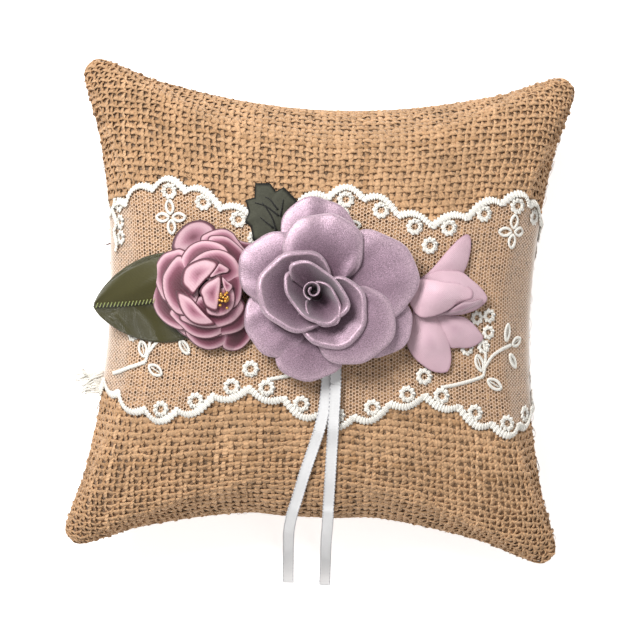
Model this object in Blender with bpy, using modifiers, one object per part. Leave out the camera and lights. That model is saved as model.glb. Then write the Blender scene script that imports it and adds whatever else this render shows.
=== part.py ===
"""Ring bearer pillow: a small square burlap pillow that lies on its back.

Two burlap panels meet at a seam all round and hold a fibrefill core. A lace strip is
wrapped round the middle. A big organza rose, a small camellia, a silk bloom and two
leaves are glued on the front, and a narrow satin ribbon is folded in half under the
rose, with both tails free for tying the rings.

Frame: metres, +Z up out of the front panel, +Y to the pillow's top edge, origin on the
resting plane under the middle of the pillow.
"""

import math

import bmesh
import bpy
from mathutils import Vector

# ---- driving dimensions (metres and degrees) ----
PILLOW_WIDTH = 0.1525
PILLOW_DEPTH = 0.1510
SIDE_PULL_X = 0.0109
SIDE_PULL_Y = 0.0125
CORNER_ROUND = 0.020
CROWN = 0.0270
SEAM_HEIGHT = 0.0250
FLOOR_BLEND = 0.0015
BURLAP_THICK = 0.0012
SEAM_THREAD_DIA = 0.0005
STUFFING_EASE = 0.0006
GAP = 0.0003

BAND_LOW = -0.0300
BAND_HIGH = 0.0325
BAND_WAVE = 0.0040
BAND_WAVE_LENGTH = 0.0520
BAND_THICK = 0.0006
BAND_EASE = 0.0005

RIBBON_WIDTH = 0.0037
RIBBON_THICK = 0.0005

ROSE_X = 0.0020
ROSE_Y = 0.0060
ROSE_RADIUS = 0.0245
ROSE_LENGTHEN = 0.10
ROSE_HEIGHT = 0.0165
ROSE_DISC_RADIUS = 0.0105
DISC_THICK = 0.0010
PETAL_THICK = 0.0004
OUTER_PETALS = 7
MIDDLE_PETALS = 3
INNER_PETALS = 3

CAMELLIA_X = -0.0372
CAMELLIA_Y = 0.0060
CAMELLIA_RADIUS = 0.0142
CAMELLIA_HEIGHT = 0.0110
CAMELLIA_DISC_RADIUS = 0.0062

BLOOM_X = 0.0310
BLOOM_Y = 0.0050
BLOOM_THROAT_RADIUS = 0.0022
BLOOM_THROAT_HEIGHT = 0.0068

SATIN_LEAF_LENGTH = 0.0330
SATIN_LEAF_WIDTH = 0.0235
DARK_LEAF_LENGTH = 0.0250
DARK_LEAF_WIDTH = 0.0170
LEAF_TEETH = 5

# ---- what follows from them ----
SEAM_GAP = SEAM_THREAD_DIA + 2 * GAP
FLOOR_UNDER_BURLAP = BAND_THICK + GAP
BAND_TOP = BAND_EASE + BAND_THICK

PARTS = bpy.data.collections.new("ring_bearer_pillow")


def clear_scene():
    for item in list(bpy.data.objects):
        bpy.data.objects.remove(item, do_unlink=True)


def finish_material(name, colour, roughness, metallic=0.0):
    material = bpy.data.materials.new(name)
    material.use_nodes = True
    shader = material.node_tree.nodes["Principled BSDF"]
    shader.inputs["Base Color"].default_value = (*colour, 1.0)
    shader.inputs["Roughness"].default_value = roughness
    shader.inputs["Metallic"].default_value = metallic
    material.diffuse_color = (*colour, 1.0)
    return material


def add_part(name, data, colour, roughness, metallic=0.0, parent=None):
    """Link one sub-part into the pillow's collection, with a material of its own."""
    data.name = name
    data.materials.append(finish_material(name + "_finish", colour, roughness, metallic))
    part = bpy.data.objects.new(name, data)
    PARTS.objects.link(part)
    if parent is not None:
        part.parent = parent
    return part


def mesh_from(bm, smooth=True):
    bmesh.ops.recalc_face_normals(bm, faces=bm.faces)
    closed = not any(edge.is_boundary for edge in bm.edges)
    if closed and bm.calc_volume(signed=True) < 0:
        bmesh.ops.reverse_faces(bm, faces=bm.faces)
    for face in bm.faces:
        face.smooth = smooth
    data = bpy.data.meshes.new("part")
    bm.to_mesh(data)
    bm.free()
    return data


def add_shell(part, thickness, offset=0.0):
    shell = part.modifiers.new("thickness", "SOLIDIFY")
    shell.thickness = thickness
    shell.offset = offset


# ---- the pillow's shape ----
def fullness(a, b):
    """How full the pillow is, from 0 on the seam to 1 in the middle."""
    return max(0.0, (1 - a * a) * (1 - b * b)) ** 0.45


def outline_point(a, b, grow):
    """Pillow outline: the sides are pulled in at their middles and the corners are blunt."""
    blunt = 1 - CORNER_ROUND * abs(a * b) ** 12
    x = (PILLOW_WIDTH / 2 + grow - SIDE_PULL_X * (1 - b * b)) * a * blunt
    y = (PILLOW_DEPTH / 2 + grow - SIDE_PULL_Y * (1 - a * a)) * b * blunt
    return x, y


def front_point(a, b, grow=0.0):
    x, y = outline_point(a, b, grow)
    return Vector((x, y, SEAM_HEIGHT + SEAM_GAP / 2 + (CROWN + grow) * fullness(a, b)))


def rested(height, floor):
    """Height pressed flat on a floor, with a soft bend where it lifts off."""
    above = height - floor
    if above >= FLOOR_BLEND:
        return height
    if above <= -FLOOR_BLEND:
        return floor
    return floor + (above + FLOOR_BLEND) ** 2 / (4 * FLOOR_BLEND)


def back_point(a, b, grow=0.0):
    x, y = outline_point(a, b, grow)
    z = SEAM_HEIGHT - SEAM_GAP / 2 - (CROWN + grow) * fullness(a, b)
    return Vector((x, y, rested(z, FLOOR_UNDER_BURLAP - grow)))


def surface_place(x, y):
    """The pillow parameters over a place, found by repeated substitution."""
    a = 0.0
    b = 0.0
    for _ in range(30):
        a = x / (PILLOW_WIDTH / 2 - SIDE_PULL_X * (1 - b * b))
        b = y / (PILLOW_DEPTH / 2 - SIDE_PULL_Y * (1 - a * a))
    return a, b


def front_height(x, y, lift=0.0):
    """Height of the front panel over a place, plus a lift."""
    a, b = surface_place(x, y)
    return SEAM_HEIGHT + SEAM_GAP / 2 + CROWN * fullness(a, b) + lift


def front_tilt(x, y):
    """Turn that stands a flower square on the front panel at a place."""
    step = 0.002
    slope_x = (front_height(x + step, y) - front_height(x - step, y)) / (2 * step)
    slope_y = (front_height(x, y + step) - front_height(x, y - step)) / (2 * step)
    return Vector((0, 0, 1)).rotation_difference(Vector((-slope_x, -slope_y, 1.0))).to_euler()


def closed_between(cells, upper, lower):
    """Closed body from two grids that share their parameters, bridged round their edges."""
    bm = bmesh.new()
    bmesh.ops.create_grid(bm, x_segments=cells, y_segments=cells, size=1.0)
    copied = bmesh.ops.duplicate(bm, geom=bm.verts[:] + bm.edges[:] + bm.faces[:])
    under = {item for item in copied["geom"] if isinstance(item, bmesh.types.BMVert)}
    bmesh.ops.translate(bm, verts=list(under), vec=(0, 0, -0.1))
    bmesh.ops.bridge_loops(bm, edges=[edge for edge in bm.edges if edge.is_boundary])
    for vert in bm.verts:
        a = math.sin(vert.co.x * math.pi / 2)
        b = math.sin(vert.co.y * math.pi / 2)
        vert.co = lower(a, b) if vert in under else upper(a, b)
    return mesh_from(bm)


def front_panel():
    data = closed_between(
        20, lambda a, b: front_point(a, b), lambda a, b: front_point(a, b, -BURLAP_THICK)
    )
    add_part("front_panel", data, (0.56, 0.37, 0.19), 0.92)


def back_panel():
    data = closed_between(
        20, lambda a, b: back_point(a, b, -BURLAP_THICK), lambda a, b: back_point(a, b)
    )
    add_part("back_panel", data, (0.54, 0.36, 0.18), 0.92)


def fibrefill_stuffing():
    shrink = -(BURLAP_THICK + STUFFING_EASE)
    data = closed_between(
        14, lambda a, b: front_point(a, b, shrink), lambda a, b: back_point(a, b, shrink)
    )
    add_part("fibrefill_stuffing", data, (0.92, 0.92, 0.90), 0.95)


def curve_part(name, points, colour, roughness, cyclic=False):
    """Curve object on a POLY spline, with filled caps where it is open."""
    data = bpy.data.curves.new(name, "CURVE")
    data.dimensions = "3D"
    data.use_fill_caps = not cyclic
    data.bevel_resolution = 2
    spline = data.splines.new("POLY")
    spline.points.add(len(points) - 1)
    for target, point in zip(spline.points, points):
        target.co = (*point, 1.0)
    spline.use_cyclic_u = cyclic
    return add_part(name, data, colour, roughness)


def seam_thread():
    """Sewing thread of the closing seam, between the rims of the two panels."""
    around = []
    per_side = 14
    corners = ((-1, -1), (1, -1), (1, 1), (-1, 1), (-1, -1))
    for (a0, b0), (a1, b1) in zip(corners, corners[1:]):
        for step in range(per_side):
            share = (1 - math.cos(math.pi * step / per_side)) / 2
            a = a0 + (a1 - a0) * share
            b = b0 + (b1 - b0) * share
            x, y = outline_point(a, b, -BURLAP_THICK / 2)
            around.append((x, y, SEAM_HEIGHT))
    thread = curve_part("seam_thread", around, (0.60, 0.45, 0.28), 0.8, cyclic=True)
    thread.data.bevel_depth = SEAM_THREAD_DIA / 2


# ---- the lace band ----
def band_edges(x):
    """Lower and upper edge of the scalloped band at a place across the pillow."""
    wave = BAND_WAVE * math.cos(2 * math.pi * (x + 0.044) / BAND_WAVE_LENGTH)
    return BAND_LOW - wave, BAND_HIGH + wave


def band_point(turn, along):
    """Inside of the band: turn runs round the pillow, along from the lower to the upper edge."""
    a = math.cos(turn)
    rise = math.sin(turn)
    low, high = band_edges(a * PILLOW_WIDTH / 2)
    y = low + (high - low) * (along + 1) / 2
    b = y / (PILLOW_DEPTH / 2 - SIDE_PULL_Y * (1 - a * a))
    x = (PILLOW_WIDTH / 2 + BAND_EASE - SIDE_PULL_X * (1 - b * b)) * a
    full = SEAM_GAP / 2 * min(1.0, 5 * abs(rise)) + (CROWN + BAND_EASE) * fullness(a, b)
    if rise >= 0:
        return Vector((x, y, SEAM_HEIGHT + full))
    return Vector((x, y, rested(SEAM_HEIGHT - full, BAND_THICK)))


def lace_band():
    """A sleeve of the pillow's section; its faces look in, and its wall grows behind them."""
    turns = 40
    rows = 8
    bm = bmesh.new()
    bmesh.ops.create_cone(bm, segments=turns, radius1=1, radius2=1, depth=2, cap_ends=False)
    upright = [edge for edge in bm.edges if abs(edge.verts[0].co.z - edge.verts[1].co.z) > 1]
    bmesh.ops.subdivide_edges(bm, edges=upright, cuts=rows - 1, use_grid_fill=True)
    for vert in bm.verts:
        vert.co = band_point(math.atan2(vert.co.y, vert.co.x), vert.co.z)
    band = add_part("lace_band", mesh_from(bm), (0.93, 0.92, 0.89), 0.75)
    add_shell(band, BAND_THICK, offset=-1.0)


# ---- petals and leaves ----
def petal_mesh(place, columns=5, rows=5):
    """Grid bent by a place function of across (-1 to 1) and along (0 to 1)."""
    bm = bmesh.new()
    bmesh.ops.create_grid(bm, x_segments=columns, y_segments=rows, size=1.0)
    for vert in bm.verts:
        vert.co = place(vert.co.x, (vert.co.y + 1) / 2)
    return mesh_from(bm)


def rounded_width(along, base, full, belly=0.55):
    """Half width of a petal: it swells from the base, then closes in an arc at the tip."""
    if along < belly:
        return base + (full - base) * math.sin(along / belly * math.pi / 2)
    arc = (along - belly) / (1.03 - belly)
    return full * math.sqrt(1 - arc * arc)


def pointed_width(along, base, full, belly=0.5):
    """Half width of a leaf or narrow petal that closes to a point."""
    if along < belly:
        return base + (full - base) * math.sin(along / belly * math.pi / 2)
    arc = (along - belly) / (1 - belly)
    return full * (1 - arc ** 1.7) + 0.0004 * arc


def profile_at(profile, along):
    """Place and slope on a smooth run from base to tip, given at its start, middle and end."""
    (r0, z0), (r1, z1), (r2, z2) = profile
    near = (1 - along) ** 2
    mid = 2 * along * (1 - along)
    far = along ** 2
    r = near * r0 + mid * r1 + far * r2
    z = near * z0 + mid * z1 + far * z2
    dr = 2 * (1 - along) * (r1 - r0) + 2 * along * (r2 - r1)
    dz = 2 * (1 - along) * (z1 - z0) + 2 * along * (z2 - z1)
    size = math.hypot(dr, dz)
    return r, z, -dz / size, dr / size


def ring_petal(azimuth, profile, base, full, pinwheel):
    """Petal of a ring: wrapped round the flower's axis, one side over its neighbour."""

    def place(across, along):
        r, z, out_r, out_z = profile_at(profile, along)
        angle = azimuth + across * rounded_width(along, base, full) / max(r, 0.003)
        r += out_r * pinwheel * across
        z += out_z * pinwheel * across
        return Vector((r * math.cos(angle), r * math.sin(angle), z))

    return petal_mesh(place)


def flower_stand(name, x, y, lift):
    """Empty on the front panel that carries a flower and is turned square to it."""
    stand = bpy.data.objects.new(name, None)
    stand.location = (x, y, front_height(x, y, lift))
    stand.rotation_euler = front_tilt(x, y)
    PARTS.objects.link(stand)
    return stand


def backing_disc(name, radius, colour, stand):
    """Felt disc under a flower."""
    bm = bmesh.new()
    bmesh.ops.create_cone(
        bm, segments=20, radius1=radius, radius2=radius, depth=DISC_THICK, cap_ends=True
    )
    bmesh.ops.translate(bm, verts=bm.verts, vec=(0, 0, DISC_THICK / 2))
    add_part(name, mesh_from(bm, smooth=False), colour, 0.9, parent=stand)


def petal_ring(name, count, start_deg, profile, base, full, pinwheel, colour, stand, lengthen=0.0):
    """Ring of petals; lengthen makes the ones that point up and down the pillow longer."""
    (r0, z0), middle, (r2, z2) = profile
    for index in range(count):
        azimuth = math.radians(start_deg) + 2 * math.pi * index / count
        reach = r2 * (1 + lengthen * math.sin(azimuth) ** 2)
        data = ring_petal(azimuth, ((r0, z0), middle, (reach, z2)), base, full, pinwheel)
        petal = add_part(f"{name}_{index + 1}", data, colour, 0.5, parent=stand)
        add_shell(petal, PETAL_THICK)


def rolled_bud(name, low, high, inner, pitch, turns, colour, stand):
    """Strip rolled up on the flower's axis, wider at its rim."""

    def place(across, along):
        roll = (across + 1) / 2 * turns * 2 * math.pi
        r = (inner + pitch * roll / (2 * math.pi)) * (0.72 + 0.28 * along)
        dip = 0.12 * (high - low) * (across + 1) / 2
        return Vector((r * math.cos(roll), r * math.sin(roll), low + (high - dip - low) * along))

    bud = add_part(name, petal_mesh(place, columns=26, rows=3), colour, 0.5, parent=stand)
    add_shell(bud, PETAL_THICK)


def rose():
    lift = BAND_TOP + 2 * RIBBON_THICK + 3 * GAP + ROSE_DISC_RADIUS ** 2 * 2.0
    stand = flower_stand("rose_stand", ROSE_X, ROSE_Y, lift)
    lilac = (0.42, 0.28, 0.40)
    backing_disc("rose_backing_disc", ROSE_DISC_RADIUS, (0.80, 0.78, 0.74), stand)
    top = ROSE_HEIGHT
    rim = ROSE_RADIUS
    base = DISC_THICK + GAP
    outer = ((0.0078, base + 0.0010), (0.0150, 0.0062), (rim, 0.0032))
    middle = ((0.0066, base + 0.0034), (0.0128, 0.0064), (rim * 0.66, top * 0.70))
    inner = ((0.0040, base + 0.0024), (0.0080, 0.0080), (rim * 0.37, top * 0.92))
    petal_ring("rose_outer_petal", OUTER_PETALS, 92, outer, 0.0048, 0.0120, 0.0008, lilac, stand,
               lengthen=ROSE_LENGTHEN)
    petal_ring("rose_middle_petal", MIDDLE_PETALS, 200, middle, 0.0052, 0.0150, 0.0005, lilac, stand)
    petal_ring("rose_inner_petal", INNER_PETALS, 60, inner, 0.0036, 0.0086, 0.0006, lilac, stand)
    rolled_bud("rose_bud", base, top, 0.0010, 0.0013, 2.1, lilac, stand)


def camellia():
    lift = BAND_TOP + GAP + CAMELLIA_DISC_RADIUS ** 2 * 3.0
    stand = flower_stand("camellia_stand", CAMELLIA_X, CAMELLIA_Y, lift)
    pink = (0.62, 0.36, 0.42)
    backing_disc("camellia_backing_disc", CAMELLIA_DISC_RADIUS, (0.80, 0.78, 0.74), stand)
    top = CAMELLIA_HEIGHT
    rim = CAMELLIA_RADIUS
    base = DISC_THICK + GAP
    outer = ((0.0052, base + 0.0010), (0.0115, 0.0030), (rim, top * 0.58))
    middle = ((0.0044, base + 0.0029), (0.0090, 0.0048), (rim * 0.73, top * 0.84))
    inner = ((0.0027, base + 0.0039), (0.0056, 0.0068), (rim * 0.44, top * 0.98))
    petal_ring("camellia_outer_petal", 5, 20, outer, 0.0036, 0.0103, 0.0006, pink, stand)
    petal_ring("camellia_middle_petal", 4, 60, middle, 0.0036, 0.0090, 0.0005, pink, stand)
    petal_ring("camellia_inner_petal", 3, 100, inner, 0.0028, 0.0062, 0.0005, pink, stand)
    bm = bmesh.new()
    bmesh.ops.create_cone(
        bm, segments=10, radius1=0.0009, radius2=0.0013, depth=top - base, cap_ends=True
    )
    bmesh.ops.translate(bm, verts=bm.verts, vec=(0, 0, base + (top - base) / 2))
    add_part("camellia_stamen", mesh_from(bm), (0.75, 0.52, 0.18), 0.35, parent=stand)


def bloom_petal(azimuth, profile, base, full, cup):
    """Narrow pointed petal of the silk bloom, with its sides cupped."""

    def place(across, along):
        r, z, out_r, out_z = profile_at(profile, along)
        side = across * pointed_width(along, base, full)
        lift = cup * (across * pointed_width(along, base, full) / full) ** 2
        forward = Vector((math.cos(azimuth), math.sin(azimuth), 0))
        sideways = Vector((-math.sin(azimuth), math.cos(azimuth), 0))
        return forward * (r + out_r * lift) + sideways * side + Vector((0, 0, z + out_z * lift))

    return petal_mesh(place)


def silk_bloom():
    """Five loose petals round a throat, each with its own reach, width and height."""
    lift = BAND_TOP + GAP + 0.0002
    stand = flower_stand("bloom_stand", BLOOM_X, BLOOM_Y, lift)
    silk = (0.70, 0.45, 0.52)
    radius = BLOOM_THROAT_RADIUS
    bm = bmesh.new()
    bmesh.ops.create_cone(
        bm, segments=12, radius1=radius, radius2=radius * 0.9, depth=BLOOM_THROAT_HEIGHT, cap_ends=True
    )
    bmesh.ops.translate(bm, verts=bm.verts, vec=(0, 0, BLOOM_THROAT_HEIGHT / 2))
    add_part("bloom_throat", mesh_from(bm), (0.60, 0.36, 0.42), 0.6, parent=stand)
    start = radius + GAP
    petals = (
        ("bloom_petal_low_right", -31, 0.0220, 0.0050, 0.0014, 0.0016, 0.0020),
        ("bloom_petal_top", 55, 0.0235, 0.0046, 0.0018, 0.0026, 0.0064),
        ("bloom_petal_bottom", -72, 0.0225, 0.0066, 0.0028, 0.0034, 0.0030),
        ("bloom_petal_right", 1, 0.0195, 0.0058, 0.0034, 0.0050, 0.0050),
        ("bloom_petal_front", 8, 0.0155, 0.0052, 0.0058, 0.0084, 0.0078),
    )
    for name, degrees, reach, half_width, root_z, middle_z, tip_z in petals:
        profile = ((start, root_z), (start + 0.35 * reach, middle_z), (reach, tip_z))
        data = bloom_petal(math.radians(degrees), profile, 0.0008, half_width, 0.0008)
        petal = add_part(name, data, silk, 0.6, parent=stand)
        add_shell(petal, PETAL_THICK)


def leaf_part(name, root, heading_deg, length, width, fold, heights, colour, teeth=0):
    """Leaf from its root along a heading, folded on its midrib, sawn at its edges if asked."""
    heading = math.radians(heading_deg)
    forward = Vector((math.cos(heading), math.sin(heading), 0))
    sideways = Vector((-math.sin(heading), math.cos(heading), 0))
    rows = 8
    if teeth:
        rows = 4 * teeth

    def place(across, along):
        half = pointed_width(along, width * 0.22, width / 2, 0.45)
        if teeth:
            half *= 0.86 + 0.14 * (1 - (along * teeth) % 1)
        low, middle, high = heights
        rise = (1 - along) ** 2 * low + 2 * along * (1 - along) * middle + along ** 2 * high
        spot = forward * length * along + sideways * half * across
        return Vector(root) + spot + Vector((0, 0, rise - fold * (half / width * across) ** 2))

    leaf = add_part(name, petal_mesh(place, columns=4, rows=rows), colour, 0.5)
    add_shell(leaf, PETAL_THICK)


def leaves():
    x = CAMELLIA_X - CAMELLIA_DISC_RADIUS - GAP
    z = front_height(x, CAMELLIA_Y, BAND_TOP + GAP + PETAL_THICK)
    leaf_part(
        "satin_leaf", (x, CAMELLIA_Y - 0.002, z), 184, SATIN_LEAF_LENGTH - 0.0015, SATIN_LEAF_WIDTH,
        0.010, (0.0008, 0.0008, -0.0042), (0.10, 0.12, 0.03),
    )
    x = ROSE_X - 0.0085
    y = ROSE_Y + 0.0105
    z = front_height(x, y, BAND_TOP + GAP + PETAL_THICK)
    leaf_part(
        "dark_leaf", (x, y, z), 118, DARK_LEAF_LENGTH, DARK_LEAF_WIDTH,
        0.004, (0.0002, 0.0008, -0.0006), (0.045, 0.055, 0.045), teeth=LEAF_TEETH,
    )


# ---- the ribbon ----
FOLD_UPPER = ((0.0055, -0.0210), (0.0052, -0.0130), (0.0046, -0.0040))
FOLD_TURN = (0.0042, -0.0012)
FOLD_LOWER = ((0.0040, -0.0040), (0.0034, -0.0130), (0.0029, -0.0220), (0.0023, -0.0300), (0.0012, -0.0357))
LEFT_OVER = ((0.0011, -0.0361), (0.0000, -0.0400), (-0.0026, -0.0490), (-0.0046, -0.0570))
LEFT_DOWN = (
    (-0.0057, -0.0610, 0.0362), (-0.0062, -0.0639, 0.0304), (-0.0066, -0.0666, 0.0225),
    (-0.0068, -0.0694, 0.0152), (-0.0068, -0.0732, 0.0082), (-0.0067, -0.0772, 0.0032),
    (-0.0066, -0.0815, 0.0012), (-0.0065, -0.0855, 0.0008),
)
RIGHT_OVER_BAND = ((0.0055, -0.0216), (0.0055, -0.0265), (0.0054, -0.0310), (0.0054, -0.0350))
RIGHT_OVER = ((0.0053, -0.0400), (0.0052, -0.0460), (0.0051, -0.0520), (0.0050, -0.0580))
RIGHT_DOWN = (
    (0.0050, -0.0612, 0.0362), (0.0050, -0.0641, 0.0304), (0.0050, -0.0668, 0.0225),
    (0.0049, -0.0697, 0.0152), (0.0049, -0.0736, 0.0082), (0.0050, -0.0776, 0.0032),
    (0.0050, -0.0818, 0.0012), (0.0050, -0.0858, 0.0008),
)


def smooth_route(points, spacing):
    """Points read evenly from a smooth curve through the route's own points."""
    knots = [Vector(point) for point in points]
    knots.insert(0, knots[0] * 2 - knots[1])
    knots.append(knots[-1] * 2 - knots[-2])
    fine = []
    for p0, p1, p2, p3 in zip(knots, knots[1:], knots[2:], knots[3:]):
        for step in range(12):
            t = step / 12
            fine.append(
                0.5 * (2 * p1 + (p2 - p0) * t + (2 * p0 - 5 * p1 + 4 * p2 - p3) * t * t
                       + (3 * p1 - p0 - 3 * p2 + p3) * t ** 3)
            )
    fine.append(knots[-2])
    total = sum((q - p).length for p, q in zip(fine, fine[1:]))
    count = max(2, round(total / spacing))
    even = [fine[0]]
    walked = 0.0
    for p, q in zip(fine, fine[1:]):
        piece = (q - p).length
        while len(even) < count and walked + piece >= len(even) * total / count:
            share = (len(even) * total / count - walked) / piece
            even.append(p + (q - p) * share)
        walked += piece
    even.append(fine[-1])
    return even


def ribbon_strip(name, points, spacing=0.0025):
    """Flat satin ribbon: a curve with the ribbon's width and rounded edges."""
    strip = curve_part(name, smooth_route(points, spacing), (0.90, 0.90, 0.90), 0.35)
    strip.data.twist_mode = "Z_UP"
    strip.data.fill_mode = "FULL"
    strip.data.bevel_depth = RIBBON_THICK / 2
    strip.data.extrude = RIBBON_WIDTH / 2 - RIBBON_THICK / 2
    strip.data.bevel_resolution = 0
    for point in strip.data.splines[0].points:
        point.tilt = math.pi / 2
    return strip


def on_front(places, lift):
    return [(x, y, front_height(x, y, lift)) for x, y in places]


def ribbon():
    """Ribbon folded in half under the rose; its two tails lie over the pillow's edge."""
    low = BAND_TOP + GAP + RIBBON_THICK / 2
    high = low + RIBBON_THICK + GAP
    bare = 2 * GAP + RIBBON_THICK / 2
    fold = on_front(FOLD_UPPER, high)
    fold += on_front((FOLD_TURN,), (low + high) / 2)
    fold += on_front(FOLD_LOWER, low)
    ribbon_strip("ribbon_fold", fold)
    left = on_front(LEFT_OVER[:1], low) + on_front(LEFT_OVER[1:], bare)
    ribbon_strip("ribbon_tail_left", left + list(LEFT_DOWN))
    right = on_front(RIGHT_OVER_BAND, high) + on_front(RIGHT_OVER, bare)
    ribbon_strip("ribbon_tail_right", right + list(RIGHT_DOWN))


def main():
    clear_scene()
    bpy.context.scene.collection.children.link(PARTS)
    front_panel()
    back_panel()
    fibrefill_stuffing()
    seam_thread()
    lace_band()
    rose()
    camellia()
    silk_bloom()
    leaves()
    ribbon()


main()
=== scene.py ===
"""Ring bearer pillow: burlap cushion, embroidered net lace band, fabric flowers, leaves and satin ribbons."""

import math

import bpy
import numpy as np
from bpy.props import FloatProperty, FloatVectorProperty, IntProperty, PointerProperty
from bpy.types import Operator, Panel, PropertyGroup
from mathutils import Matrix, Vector


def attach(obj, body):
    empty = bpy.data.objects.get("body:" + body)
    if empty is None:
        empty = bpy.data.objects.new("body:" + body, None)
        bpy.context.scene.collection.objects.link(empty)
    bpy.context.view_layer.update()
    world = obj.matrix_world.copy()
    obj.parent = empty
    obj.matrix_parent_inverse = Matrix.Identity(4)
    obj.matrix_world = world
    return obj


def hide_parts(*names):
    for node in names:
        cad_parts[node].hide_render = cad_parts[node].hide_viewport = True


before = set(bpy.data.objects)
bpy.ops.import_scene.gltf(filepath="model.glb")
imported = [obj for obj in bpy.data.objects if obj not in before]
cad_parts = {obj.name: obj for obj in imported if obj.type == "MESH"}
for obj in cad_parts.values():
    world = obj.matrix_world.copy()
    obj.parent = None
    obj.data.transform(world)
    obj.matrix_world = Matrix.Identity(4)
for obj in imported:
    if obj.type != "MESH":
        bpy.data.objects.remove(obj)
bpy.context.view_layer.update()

bl_info = {
    "name": "Ring Bearer Pillow",
    "version": (1, 0, 0),
    "blender": (4, 5, 0),
    "location": "View3D > Sidebar > Pillow",
    "description": "Builds the woven, lace and flower surfaces of a ring bearer pillow",
    "category": "Add Mesh",
}

BODY = "pillow"
SEED = 11
TAU = 2 * math.pi

# ---- form shared with the frame, in metres: the pillow's outline, crown and seam
PILLOW_WIDTH, PILLOW_DEPTH = 0.1525, 0.1510
SIDE_PULL_X, SIDE_PULL_Y = 0.0109, 0.0125
CORNER_ROUND, CORNER_POWER = 0.020, 12
CROWN, CROWN_POWER = 0.0270, 0.45
SEAM_HEIGHT, SEAM_GAP = 0.0250, 0.0011
FLOOR_BLEND, FLOOR_UNDER_BURLAP = 0.0015, 0.0009
GAP = 0.0003
BAND_LOW, BAND_HIGH, BAND_WAVE = -0.0300, 0.0325, 0.0040
BAND_THICK, BAND_EASE = 0.0006, 0.0005
BAND_TOP = BAND_EASE + BAND_THICK
RIBBON_WIDTH, RIBBON_THICK = 0.0037, 0.0005
ROSE_X, ROSE_Y, ROSE_DISC = 0.0020, 0.0060, 0.0105
MM = 0.001
UPWARDS = (0.0, 0.0, 1.0)

# ---- ribbon routes, as in the frame: points on the pillow are (x, y), hanging points (x, y, z)
RIBBON_LOW = BAND_TOP + GAP + RIBBON_THICK / 2
RIBBON_HIGH = RIBBON_LOW + RIBBON_THICK + GAP
RIBBON_BARE = 2 * GAP + RIBBON_THICK / 2
FOLD_UPPER = ((0.0055, -0.0210), (0.0052, -0.0130), (0.0046, -0.0040))
FOLD_TURN = (0.0042, -0.0012)
FOLD_LOWER = (
    (0.0040, -0.0040), (0.0034, -0.0130), (0.0029, -0.0220), (0.0023, -0.0300), (0.0012, -0.0357),
)
LEFT_OVER = ((0.0011, -0.0361), (0.0000, -0.0400), (-0.0026, -0.0490), (-0.0046, -0.0570))
LEFT_DOWN = (
    (-0.0057, -0.0610, 0.0362), (-0.0062, -0.0639, 0.0304), (-0.0066, -0.0666, 0.0225),
    (-0.0068, -0.0694, 0.0152), (-0.0068, -0.0732, 0.0082), (-0.0067, -0.0772, 0.0032),
    (-0.0066, -0.0815, 0.0012), (-0.0065, -0.0855, 0.0008),
)
RIGHT_OVER_BAND = ((0.0055, -0.0216), (0.0055, -0.0265), (0.0054, -0.0310), (0.0054, -0.0350))
RIGHT_OVER = ((0.0053, -0.0400), (0.0052, -0.0460), (0.0051, -0.0520), (0.0050, -0.0580))
RIGHT_DOWN = (
    (0.0050, -0.0612, 0.0362), (0.0050, -0.0641, 0.0304), (0.0050, -0.0668, 0.0225),
    (0.0049, -0.0697, 0.0152), (0.0049, -0.0736, 0.0082), (0.0050, -0.0776, 0.0032),
    (0.0050, -0.0818, 0.0012), (0.0050, -0.0858, 0.0008),
)

# ---- the cloth's outline: fuller towards the corners than the solid, and blunter at them
PULL_POWER, CORNER_FULL = 1.15, 0.0010
CORNER_BLUNT, BLUNT_POWER = 0.042, 26

# ---- the simulated drape, filled in by the cushion operator: moves by side, 1 the front and -1 the back
DRAPE_COUNT = 61
drape = {side: np.zeros((DRAPE_COUNT, DRAPE_COUNT, 3)) for side in (1, -1)}


def linear(red, green, blue):
    """Screen colour 0..255 as linear light: ((c + 0.055) / 1.055) to the 2.4, or c / 12.92 when dark."""
    c = np.array((red, green, blue)) / 255
    return tuple(float(v) for v in np.where(c <= 0.04045, c / 12.92, ((c + 0.055) / 1.055) ** 2.4))


# ------------------------------------------------------------------ sizes and colours


class PillowSizes(PropertyGroup):
    """Thread counts and cloth sizes."""

    rows: IntProperty(
        name="Rows", description="Weft threads from bottom to top", default=69, min=10, max=120
    )
    columns: IntProperty(
        name="Columns", description="Warp threads from left to right", default=76, min=10, max=120
    )
    row_width: FloatProperty(
        name="Weft width", description="Width of a weft thread", default=0.00200, unit="LENGTH", precision=5
    )
    column_width: FloatProperty(
        name="Warp width", description="Width of a warp thread", default=0.00180, unit="LENGTH", precision=5
    )
    fibres: IntProperty(name="Stray fibres", description="Loose jute fibres on the cloth", default=420, min=0)
    puff: FloatProperty(
        name="Puff", description="Most that the filling moves the cloth", default=0.0016, unit="LENGTH"
    )
    net_pitch: FloatProperty(
        name="Net pitch", description="Distance between net holes", default=0.00090, unit="LENGTH",
        precision=5,
    )
    cord_width: FloatProperty(
        name="Edge cord", description="Width of the embroidered lace edge", default=0.0023, unit="LENGTH",
        precision=4,
    )


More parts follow.
